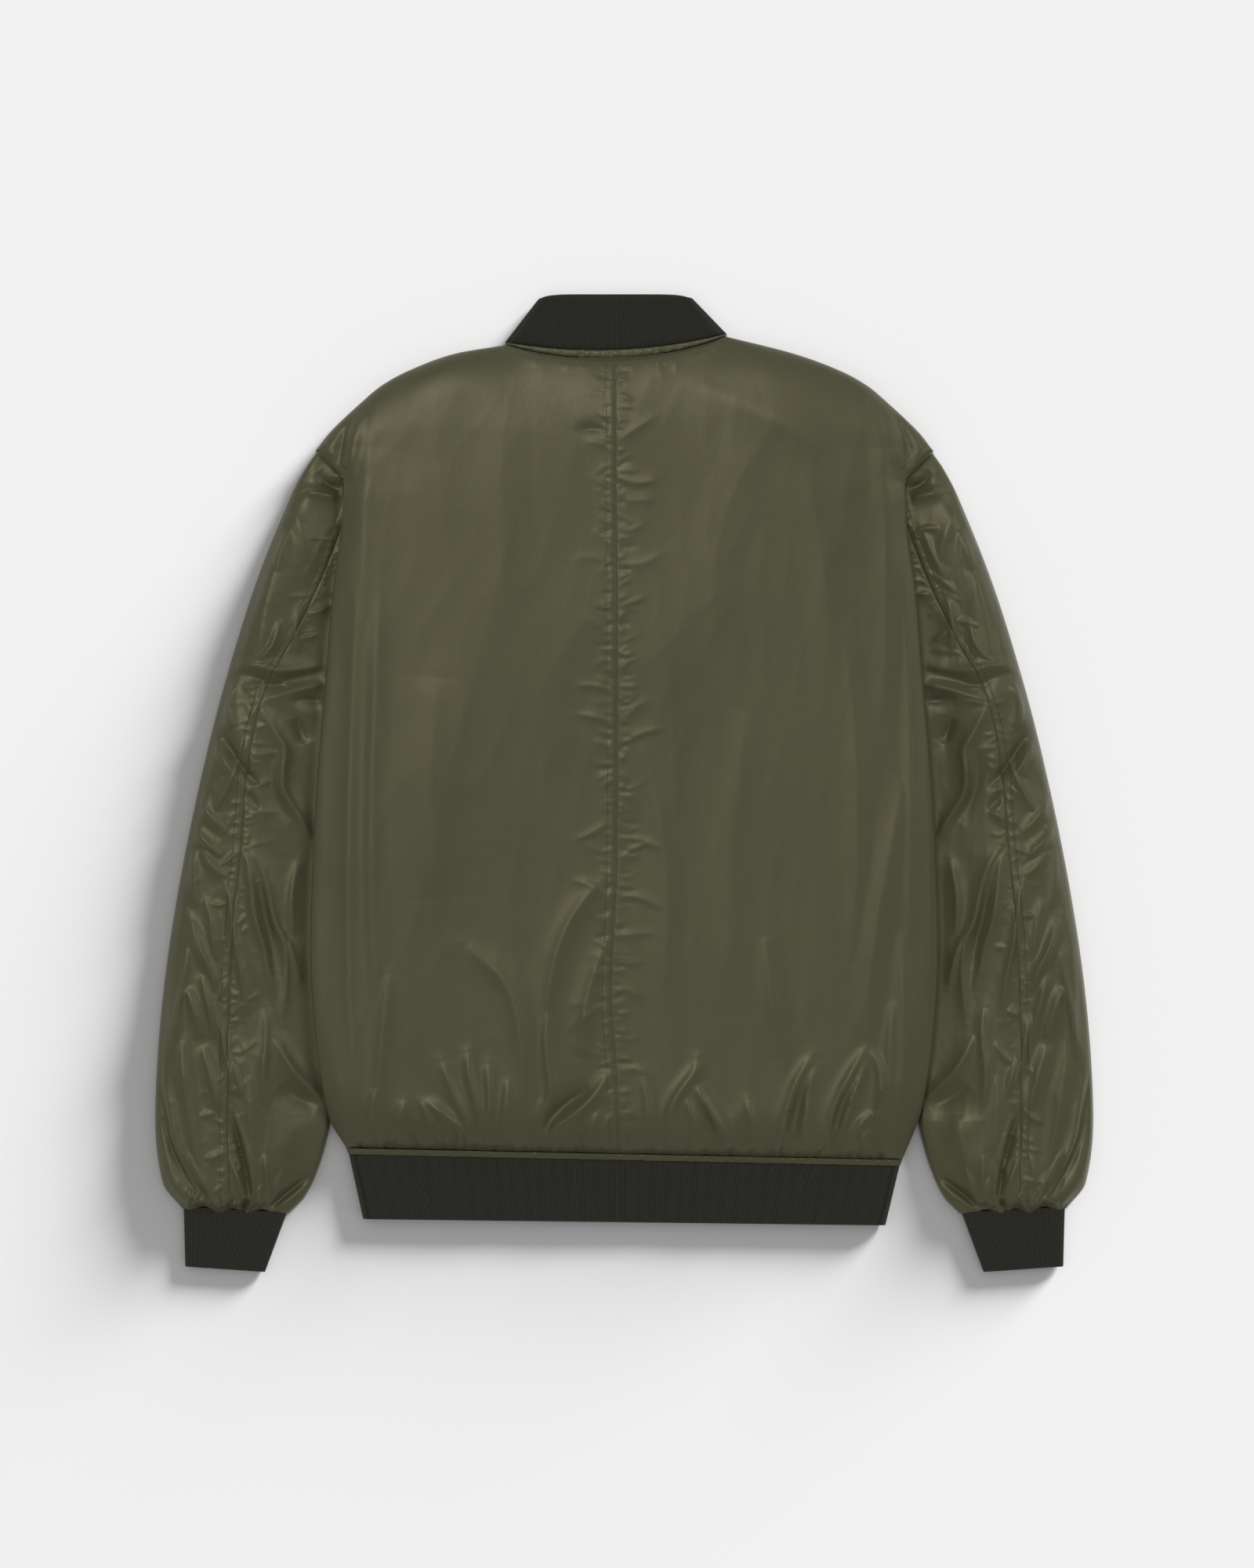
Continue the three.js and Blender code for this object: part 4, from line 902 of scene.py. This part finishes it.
def sleeve_heights(x, y, u, width):
    """Top of the sleeve and the middle of its rim: low where the body lies on it, full between
    there and the outer fold, and never above the underside of the body."""
    from_outer, from_inner = u * width, (1 - u) * width
    tucked = ease(0, TUCK_FADE, x - side_line(y))
    opened = np.where(y < SLEEVE_FREE, ease(0, TUCK_FADE, from_inner), tucked)
    pinch = mix(0.35, 1, puff(y - CUFF_INNER, 34)) * mix(0.3, 1, puff(232 - y + u * 34, 60))
    tuck = SLEEVE_TUCKED * mix(0.68, 1, 1 - ease(205, 252, y))
    full = mix(tuck, SLEEVE_CROWN, opened * puff(from_outer, 30) * pinch)
    rounded = mix(5.5, full, puff(from_outer, 12) * puff(from_inner, 10))
    distance = side_line(y) - x
    clearance = mix(0.8, 3.8, ease(195, 230, y))
    under = lift_at(y, distance) - clearance + 3 * (1 - puff(distance, FRONT_ROUNDING))
    under = np.where((distance < -1) | (y < SLEEVE_FREE) | (y > 244), SLEEVE_CROWN, under)
    height = np.minimum(rounded, under)
    rim = np.linspace(240, 267, 12)
    path = np.stack([outline(1)[0](rim), rim], -1)
    away = nearest_on_path(path, x.ravel(), y.ravel())[0].reshape(x.shape)
    body_edge = 8.4 + 1.07 * lift_at(y, 0 * y)
    outside = ease(238, 247, y) * ease(-1.0, 0.2, x - outline(1)[0](y))
    return mix(height, np.maximum(height, body_edge), outside * (1 - ease(2, 22, away))), opened


def sleeve_puckers(rng):
    """Puckers down the sleeve's seam, both ways, and gathers at the cuff."""
    seam_path = [(float(sleeve_seam(y)), y) for y in np.linspace(-336, 228, 60)]
    folds = []
    for side in (-1, 1):
        folds += seam_puckers(rng, seam_path, side, 7, 9, 1.4, 0.45, slant=0.15 * side, gap=1)
        folds += seam_puckers(rng, seam_path, side, 25, 24, 2.4, 0.95, slant=0.5 * side, gap=1.5)
    folds += seam_puckers(rng, seam_path, 1, 5, 5, 1.0, 0.35, gap=0.6)
    cuff_path = [(x, mix(CUFF_INNER, CUFF_OUTER, (x - 271) / 85)) for x in np.linspace(273, 354, 20)]
    folds += seam_puckers(rng, cuff_path, 1, 7.5, 17, 2.2, 1.5, gap=0)
    folds += seam_puckers(rng, cuff_path, 1, 5.5, 9, 1.5, -1.1, gap=0)
    folds += seam_puckers(rng, cuff_path, 1, 23, 46, 4.0, 1.6, gap=2)
    return folds


def sleeve_relief(folds, x, y, u, width, opened, rng):
    """What stands out of the plain form: folds, the seam's groove and stitch row, a soft
    unevenness drawn out down the arm, and the hollow beside the body."""
    seam = x - sleeve_seam(y)
    groove = -0.5 * np.exp(-(seam / 0.8) ** 2) - 0.35 * np.exp(-((seam - ROW_OFFSET) / 0.8) ** 2)
    groove = groove + 0.3 * ease(0, 2, seam) * (1 - ease(5, 8, seam))
    slow = 0.9 * crumple(rng, x, y, 150, 6, 1.8, 1.4)
    slow = slow + 0.35 * crumple(rng, x, y, 60, 7, 1.8, 1.2)
    slow = slow + 0.12 * crumple(rng, x, y, 22, 7, 1.3, 1.2)
    rim = ease(0.5, 9, u * width)
    beside = x - side_line(y)
    free = np.maximum(ease(-4, 8, beside), ease(-268, -276, y) * ease(0, 9, (1 - u) * width))
    head = 1 - ease(0.97, 1.0, (y - CUFF_OUTER) / (ARMHOLE_TOP - CUFF_OUTER))
    tuck = -2.2 * np.exp(-np.maximum(beside, 0) / 5)
    tuck = tuck * ease(-278, -262, y) * (1 - ease(232, 246, y))
    relief = 2.3 * fold_height(folds, x, y) + groove + slow * mix(0.4, 1, opened)
    return tuck * free * head + relief * rim * free * head


print("sleeve width at the elbow", round(float(sleeve_outer(18) - sleeve_inner(18)), 1), "mm")

# %% Sleeve pieces
def sleeve_piece(sign, part):
    """The outer piece runs from the top seam over the outer fold to the seam underneath; the
    inner piece runs from the top seam over the inner fold. Underneath it lies on the table."""
    rows = np.clip(shares(609, 1.25, start=0.7, reach=10), 0, 1)[:, None]
    seam_cells = 54 if part == "outer" else 78
    top = shares(seam_cells, 1.25, start=0.22, end=0.7, reach=9)[::-1]
    under = shares(seam_cells, 8, start=0.25, reach=30)[1:]
    edge = 0.0 if part == "outer" else 1.0

    def across(seam, width):
        top_u = mix(edge, seam + (-SEAM_GAP if part == "outer" else SEAM_GAP) / width, top)
        return np.concatenate([top_u, mix(edge, np.full_like(seam, 0.6), under)], 1)

    x, y, u, width, _ = sleeve_form(rows, across)
    height, opened = sleeve_heights(x, y, u, width)
    folds = SLEEVE_FOLDS_BY_SIDE[sign]
    relief = sleeve_relief(folds, x, y, u, width, opened, np.random.default_rng(12 + sign))
    rim_distance = np.abs(u - edge) * width
    middle = 2.6
    upper = np.maximum(1.1, middle + (height - middle) * puff(rim_distance, 3.2) + relief)
    lower = middle * (1 - puff(rim_distance, 4))
    is_top = np.arange(x.shape[1]) < len(top)
    z = np.where(is_top, upper, lower)
    end = ease(0, 9, y - mix(CUFF_OUTER, CUFF_INNER, u))
    z = np.where(is_top, mix(np.minimum(z, 9.5), z, np.sqrt(end)), z)
    lobes = 2.6 * waves(np.random.default_rng(3), x, 0 * x, 17, 5)
    lobes = lobes * (1 - ease(0, 22, y + 346)) * is_top * ease(0.5, 6, rim_distance)
    under_body = 1 - ease(0, 12, (1 - rows) * 600)
    z = np.where(is_top, np.maximum(z - 1.2 * under_body, 1.0), z)
    x, y = x - 2.6 * under_body, y + 2.2 * under_body
    return np.stack([sign * x, y + lobes, z], -1), rim_distance


SLEEVE_FOLDS_BY_SIDE = {}
for sign, side in ((-1, "left"), (1, "right")):
    rng = np.random.default_rng(40 + sign)
    SLEEVE_FOLDS_BY_SIDE[sign] = [
        (path, width, height * rng.uniform(0.8, 1.15), lean * sign)
        for path, width, height, lean in SLEEVE_FOLDS] + sleeve_puckers(rng)
    for part, node in (("outer", "sleeve_outer"), ("inner", "sleeve_under")):
        points, rim_distance = sleeve_piece(sign, part)
        SURFACE[f"sleeve_{part}_{side}"] = points
        piece = sew(f"sleeve_{part}_piece_{side}", points, nylon_sleeve[sign], "shell", wall=0.9,
                    every=6, drop=ease(4, 12, rim_distance))
        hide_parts(f"{node}_{side}")

# %% [markdown]
# ## Bands and ribbing
# The collar, hem and cuffs are 1×1 rib knit, doubled and sewn on. Ribbing can be bump, but
# then its outline is flat and it loses its depth in raking light, so each rib is real: a
# small rounded ridge every 1.8 mm. The collar and hem are loops of cloth lying flat: the
# stations of a band run along the lower layer, round one fold, over the top and round the
# other, and each station carries its shape from the sewn edge to the free one.

# %% Band stations
RIB_PITCH = 1.8


def band_stations(front_share, half, cell_top, cell_low):
    """Share across the band, -1 at the left fold and 1 at the right one, and the angle round
    the folds. Angle 0 is underneath and pi on top."""
    fold = 7 / half
    low = mix(front_share, 1 - fold, np.linspace(0, 1, max(6, int(half / cell_low))))
    turn = np.linspace(0, math.pi, 15)[1:-1]
    top = np.linspace(-(1 - fold), 1 - fold, int(2 * half * (1 - fold) / cell_top))
    round_fold = 1 - fold + fold * np.sin(turn)
    share = np.concatenate([-low, -round_fold, top, round_fold, low[::-1]])
    angle = np.concatenate([0 * low, turn, 0 * top + math.pi, turn[::-1], 0 * low])
    return share, angle


def band_grid(levels, share, angle, place, thickness, relief):
    """Points of a band. The height is half the thickness times 1 - cos(angle), plus the relief
    on the upper side."""
    layer_top = (1 - np.cos(angle))[:, None] / 2
    level = levels[None, :]
    x, y = place(share[:, None] + 0 * level, level + 0 * share[:, None], layer_top)
    raised = relief(share[:, None], level, x, y) * ease(0.55, 1, layer_top)
    return np.stack([x, y, thickness(level) * layer_top + raised], -1)


def ribs(across_mm):
    """Height of rounded ribs, from 0 between them to 1 on them: the root of a sine's size."""
    return np.sqrt(np.abs(np.sin(math.pi * across_mm / RIB_PITCH)))


def neck_x(share, left, right):
    """x of a share, counted from the middle of the back's neck to either end."""
    return np.where(share < 0, mix(NECK_MIDDLE, left, -share), mix(NECK_MIDDLE, right, share))


def neck_base(share, layer_top):
    """x on the neck seam: even shares from the middle of the back, or from the zip in front."""
    back = neck_x(share, -NECK_HALF[-1], NECK_HALF[1])
    front = share * np.where(share < 0, NECK_HALF[-1], NECK_HALF[1])
    return mix(front, back, ease(0.3, 0.7, layer_top))


def neck_seam(x, layer_top):
    """y of the neck seam: the fronts' underneath and the back's on top."""
    return mix(front_neck_line(x), neck_line(x), ease(0.3, 0.7, layer_top))


print("ribs across the hem:", int(2 * 221 / RIB_PITCH))

# %% Neck band and collar
COLLAR_LEVELS = np.concatenate([[0, 0.015], np.linspace(0.05, 0.93, 22), [0.96, 0.98, 0.992, 1]])
share, angle = band_stations(0.053, 89, 1.1, 8)
BAND_LEVELS = np.linspace(0, 1, 9)


def place_neck_band(share, level, layer_top):
    """From the panels' edge, level 0, up to the collar's seam, level 1."""
    x = neck_base(share, layer_top)
    return x, neck_seam(x, layer_top) - neck_band_width(x) * (1 - level)


def neck_band_relief(share, level, x, y):
    """Rounded across, gathered along, and drawn in where it is stitched down."""
    rng = np.random.default_rng(9)
    gathers = 0.45 * waves(rng, x, 0 * x, 5.5, 7)
    return 0.8 * np.sqrt(np.clip(4 * level * (1 - level), 0, 1)) + gathers * np.sin(math.pi * level)


points = band_grid(BAND_LEVELS, share, angle, place_neck_band, lambda level: 10.6 + 0 * level,
                   neck_band_relief)
piece = sew("neck_band_cloth", points, nylon, "shell", wall=0.9, every=3)
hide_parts("neck_band")


COLLAR_TOP = 393.6
COLLAR_LEFT, COLLAR_RIGHT = 66.5, 52  # half widths of the free edge
COLLAR_RUN = 78                       # mm of ribbing on each side of its middle


def place_collar(share, level, layer_top):
    """From the neck seam to the free edge, which is shorter and lower in front."""
    x = neck_base(share, layer_top)
    top = ease(0.3, 0.7, layer_top)
    front_x = share * np.where(share < 0, COLLAR_LEFT, COLLAR_RIGHT)
    top_x = mix(front_x, neck_x(share, -COLLAR_LEFT, COLLAR_RIGHT), top)
    top_y = mix(mix(324, COLLAR_TOP, np.abs(share) ** 2.2), COLLAR_TOP + 0 * share, top)
    corner = 2.6 * np.abs(share) ** 8 * ease(0.9, 1, level)
    start = neck_seam(x, layer_top) + 0.3
    return mix(x, top_x, level), mix(start, top_y, level) - corner


def collar_relief(share, level, x, y):
    """Ribs along the collar's height, flatter at the folded free edge."""
    edge = np.sqrt(np.clip(1 - ((level - 0.5) / 0.5) ** 12, 0, 1))
    return (0.85 * ribs(share * COLLAR_RUN) + 0.3) * edge - 1.6 * (1 - edge)


share, angle = band_stations(0.053, 89, 0.3, 8)
points = band_grid(COLLAR_LEVELS, share, angle, place_collar,
                   lambda level: mix(10.6, 8.4, level), collar_relief)
piece = sew("collar_ribbing", points, rib_knit, "rib", wall=0.8, every=12,
            crest=ribs(share * COLLAR_RUN)[:, None])
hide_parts("collar_rib")

# %% Hem band and hem ribbing
HEM_RUN = 216  # mm of ribbing on each side of its middle


def place_hem_band(share, level, layer_top):
    """From the panels' edge down to the ribbing, 4.9 mm below."""
    x = share * mix(HEM_HALF, 222.3, level)
    return x, hem_line(x) - 0.3 - level * 4.9


def hem_band_relief(share, level, x, y):
    """A narrow roll of shell cloth, gathered tightly by the ribbing's pull."""
    rng = np.random.default_rng(15)
    gathers = 0.4 * waves(rng, x, 0.25 * y, 5.0, 8) * np.sin(math.pi * level) ** 0.7
    return 0.15 * np.sqrt(np.clip(4 * level * (1 - level), 0, 1)) + gathers


share, angle = band_stations(0.0205, 224, 1.0, 12)
points = band_grid(BAND_LEVELS, share, angle, place_hem_band,
                   lambda level: mix(10.7, 9.2, level), hem_band_relief)
piece = sew("hem_band_cloth", points, nylon, "shell", wall=0.9, every=3)
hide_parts("hem_band")

HEM_LEVELS = np.concatenate([[0, 0.02], np.linspace(0.08, 0.92, 14), [0.96, 0.98, 0.992, 1]])


def place_hem_rib(share, level, layer_top):
    """From the band down to the free edge, which is a little shorter."""
    x = share * mix(221.7, 210.4, level)
    return x, mix(hem_line(x) - 5.5, -353.2 - 0.012 * x, level)


def hem_relief(share, level, x, y):
    """Ribs across the hem, on a slow unevenness, flatter at both edges."""
    edge = np.sqrt(np.clip(1 - ((level - 0.5) / 0.5) ** 14, 0, 1))
    slow = 0.35 * waves(np.random.default_rng(4), x, y, 60, 6)
    return (0.85 * ribs(share * HEM_RUN) + 0.2 + slow) * edge - 1.6 * (1 - edge)


share, angle = band_stations(0.0205, 222, 0.3, 12)
points = band_grid(HEM_LEVELS, share, angle, place_hem_rib, lambda level: 10.3 + 0 * level,
                   hem_relief)
piece = sew("hem_ribbing", points, rib_knit, "rib", wall=0.8, every=12,
            crest=ribs(share * HEM_RUN)[:, None])
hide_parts("hem_rib")

# %% Cuffs
CUFF_RUN = 38  # mm of ribbing on each side of its middle


def cuff_grid(sign):
    """A flattened tube and its rib heights: at each level a rounded oblong between the cuff's
    two sides. Up is (1 - across to the power 9) to the power 0.45, and the ribs stand on it."""
    level = np.concatenate([np.linspace(0, 0.93, 20), [0.955, 0.975, 0.99, 1]])[:, None]
    across = np.concatenate([np.linspace(1, -1, 280), np.linspace(-1, 1, 60)[1:-1]])
    top = np.arange(len(across)) < 280
    up = np.where(top, 1, -1) * np.sqrt(np.clip(1 - np.abs(across) ** 9, 0, 1)) ** 0.9
    outer_x, inner_x = mix(355, 353.8, level), mix(271.5, 289.5, level)
    outer_y, inner_y = mix(-340.6, -389.2, level), mix(-345.2, -393.6, level)
    height = mix(10.4, 8.0, level)
    x = mix(inner_x, outer_x, (across + 1) / 2)
    y = mix(inner_y, outer_y, (across + 1) / 2)
    edge = np.sqrt(np.clip(1 - np.clip((level - 0.5) / 0.5, 0, 1) ** 14, 0, 1))
    z = height / 2 * (1 + up * mix(0.45, 1, edge))
    crest = ribs(across * CUFF_RUN)
    rib = 0.8 * crest * edge
    z = z + np.where(top, rib * np.clip(up, 0, 1), 0) - 0.3
    return np.stack([sign * x, y, np.maximum(z, 0)], -1), crest


for sign, side in ((-1, "left"), (1, "right")):
    points, crest = cuff_grid(sign)
    piece = sew(f"cuff_ribbing_{side}", points, rib_knit, "rib", wall=0.8, every=10, ring=True,
                crest=crest)
    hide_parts(f"cuff_{side}")

# %% [markdown]
# ## Stitches
# Topstitching shows as a row of short rounded stitches, each sunk into its own little dip.
# A stitch here is a six-sided capsule of a few faces laid along the row, its height read from
# the cloth's nearest points below it. All stitches of a row are one mesh.

# %% Stitch rows
def cloth_height(surface, x, y):
    """The highest of the nearest grid points of a surface, for many places at once."""
    flat = surface.reshape(-1, 3)
    heights = np.empty(len(x))
    for i, (px, py) in enumerate(zip(x, y)):
        near = np.abs(flat[:, 1] - py) < 3
        spot = flat[near]
        gap = (spot[:, 0] - px) ** 2 + (spot[:, 1] - py) ** 2
        heights[i] = spot[gap < gap.min() + 1, 2].max()
    return heights


def stitch_row(name, path, surface, pitch=3.0, length=2.3, radius=0.27, sink=0.1):
    """Capsules along a path in mm. A capsule is four rings of six points, the end rings small;
    point = centre + along · t + (side · cos a + up · sin a) · r."""
    path = np.array(path, float)
    lengths = np.concatenate([[0], np.cumsum(np.hypot(*np.diff(path, axis=0).T))])
    at = np.arange(pitch / 2, lengths[-1], pitch)
    spots = np.stack([np.interp(at, lengths, path[:, i]) for i in (0, 1)], -1)
    ahead = np.stack([np.interp(at + 1, lengths, path[:, i]) for i in (0, 1)], -1) - spots
    ahead = ahead / np.maximum(np.linalg.norm(ahead, axis=1, keepdims=True), 1e-9)
    height = [cloth_height(surface, *(spots + ahead * length * t).T) - sink for t in (-0.4, 0, 0.4)]
    t = np.array([-0.5, -0.33, 0.33, 0.5])
    r = np.array([0.25, 1, 1, 0.25]) * radius
    angle = np.arange(6) * math.pi / 3
    z = mix(height[0][:, None], height[2][:, None], (t + 0.5)[None]) * 0.5 + height[1][:, None] * 0.5
    flat = spots[:, None] + ahead[:, None] * length * t[None, :, None]
    centre = np.concatenate([flat, z[..., None]], -1)
    side = np.stack([-ahead[:, 1], ahead[:, 0], 0 * ahead[:, 0]], -1)
    ring = side[:, None, None] * np.cos(angle)[None, None, :, None]
    ring = ring + np.array([0, 0, 1.0]) * np.sin(angle)[None, None, :, None]
    points = centre[:, :, None] + ring * r[None, :, None, None]
    k, a = np.mgrid[0:3, 0:6]
    b = (a + 1) % 6
    quads = np.stack([k * 6 + a, k * 6 + b, (k + 1) * 6 + b, (k + 1) * 6 + a], -1).reshape(-1, 4)
    caps = np.array([[0, 2, 1], [0, 3, 2], [0, 4, 3], [0, 5, 4],
                     [18, 19, 20], [18, 20, 21], [18, 21, 22], [18, 22, 23]])
    base = (np.arange(len(spots)) * 24)[:, None, None]
    quads, caps = (quads + base).reshape(-1, 4), (caps + base).reshape(-1, 3)
    return make_mesh(name, points, quads, caps, thread, "shell")


heights = np.arange(-294, 338, 3.0)
for offset, label in ((-1.7, "near"), (-SECOND_ROW, "far")):
    row = [(float(centre_back(y)) + offset, y) for y in heights]
    stitch_row(f"centre_stitches_{label}", row, SURFACE["back_left"])
for sign, side in ((-1, "left"), (1, "right")):
    levels = np.arange(-336, 228, 3.0)
    row = [(sign * (float(sleeve_seam(y)) + ROW_OFFSET), y) for y in levels]
    stitch_row(f"sleeve_stitches_{side}", row, SURFACE[f"sleeve_outer_{side}"])
    for offset, label in ((1.6, "near"), (7.5, "far")):
        levels = np.linspace(246, 266, 12)
        row = [(sign * (float(armhole_line(y)) - offset * 0.75), y + offset * 0.7) for y in levels]
        stitch_row(f"armhole_stitches_{label}_{side}", row, SURFACE[f"back_{side}"])

# %% [markdown]
# ## The zip
# The zip is on the side that lies on the table. The frame's tapes, slider, bridge and pull
# keep their shape and only take a metal or woven finish. The chain is redrawn with teeth:
# two rows that interlock, each tooth a small block with a chamfered head.

# %% Zip
def tooth_rows():
    """One tooth is an octagonal block; teeth alternate left and right every 1.25 mm."""
    low, high = np.array(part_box("zip_chain")) / MM
    places = np.arange(low[1] + 0.8, high[1] - 0.6, 1.25)
    sides = np.where(np.arange(len(places)) % 2, 1, -1)
    outline_x = np.array([-1.2, 2.6, 3.2, 3.2, 2.6, -1.2])
    outline_y = np.array([-0.5, -0.5, -0.25, 0.25, 0.5, 0.5])
    x = sides[:, None] * outline_x
    y = places[:, None] + outline_y
    bottom, top = low[2] + 0.1, high[2] - 0.1
    points = np.stack([np.stack([x, y, 0 * x + bottom], -1), np.stack([x, y, 0 * x + top], -1)], 1)
    a = np.arange(6)
    quads = np.stack([a, (a + 1) % 6, (a + 1) % 6 + 6, a + 6], -1)
    caps = np.array([[0, 2, 1], [0, 3, 2], [0, 4, 3], [0, 5, 4],
                     [6, 7, 8], [6, 8, 9], [6, 9, 10], [6, 10, 11]])
    flip = sides < 0
    base = (np.arange(len(places)) * 12)[:, None, None]
    quads = np.where(flip[:, None, None], quads[None, :, ::-1], quads[None]) + base
    caps = np.where(flip[:, None, None], caps[None, :, ::-1], caps[None]) + base
    return points, quads.reshape(-1, 4), caps.reshape(-1, 3)


piece = make_mesh("zip_teeth", *tooth_rows(), nickel, "metal")
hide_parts("zip_chain")
for node in ("zip_slider", "zip_bridge", "zip_pull"):
    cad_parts[node].data.materials[0] = nickel
for node in ("zip_tape_left", "zip_tape_right"):
    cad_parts[node].data.materials[0] = woven_tape

# %% [markdown]

# %% [markdown]
# ## Table and light
# The table is pale and plain. A low softbox at the upper right lights only the table, and
# gives the long soft shadow to the lower left. Light linking keeps it off the cloth, which has
# its own: a high softbox, so the satin is bright where it lies level and falls off down every
# fold, and a weak fill from the right. An even pale surround keeps the shadows open.

# %% Table and light
table_mesh = bpy.data.meshes.new("table")
table_mesh.from_pydata([(-3, -3, 0), (3, -3, 0), (3, 3, 0), (-3, 3, 0)], [], [(0, 1, 2, 3)])
table = bpy.data.objects.new("table", table_mesh)
table.location.z = -0.0001
bpy.context.collection.objects.link(table)
paper, tree, shader = new_material("pale_paper", (0.80, 0.80, 0.80), 0.9, specular=0.2)
table_mesh.materials.append(paper)

world = bpy.data.worlds.new("studio")
world.use_nodes = True
world.node_tree.nodes["Background"].inputs["Color"].default_value = (1, 1, 1, 1)
world.node_tree.nodes["Background"].inputs["Strength"].default_value = 0.42
bpy.context.scene.world = world


def distant_light(name, height, turn, spread, power, lit):
    """A far softbox at `height` degrees above the table. A turn of 0 comes from the right and
    90 from above the collar. It lights only the objects in the collection `lit`."""
    data = bpy.data.lights.new(name, "SUN")
    data.energy, data.angle = power, math.radians(spread)
    light = bpy.data.objects.new(name, data)
    light.rotation_euler = (0, math.radians(90 - height), math.radians(turn))
    light.light_linking.receiver_collection = lit
    bpy.context.collection.objects.link(light)
    return light


lit_table = bpy.data.collections.new("lit_table")
lit_table.objects.link(table)
lit_jacket = bpy.data.collections.new("lit_jacket")
for shown in (*pieces.values(), *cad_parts.values()):
    lit_jacket.objects.link(shown)
distant_light("table_key", 11, 47, 20, 11.2, lit_table)
distant_light("jacket_key", 66, 118, 24, 0.86, lit_jacket)
distant_light("jacket_fill", 40, 30, 30, 0.42, lit_jacket)
bpy.context.scene.view_settings.view_transform = "Standard"
print("lights set")
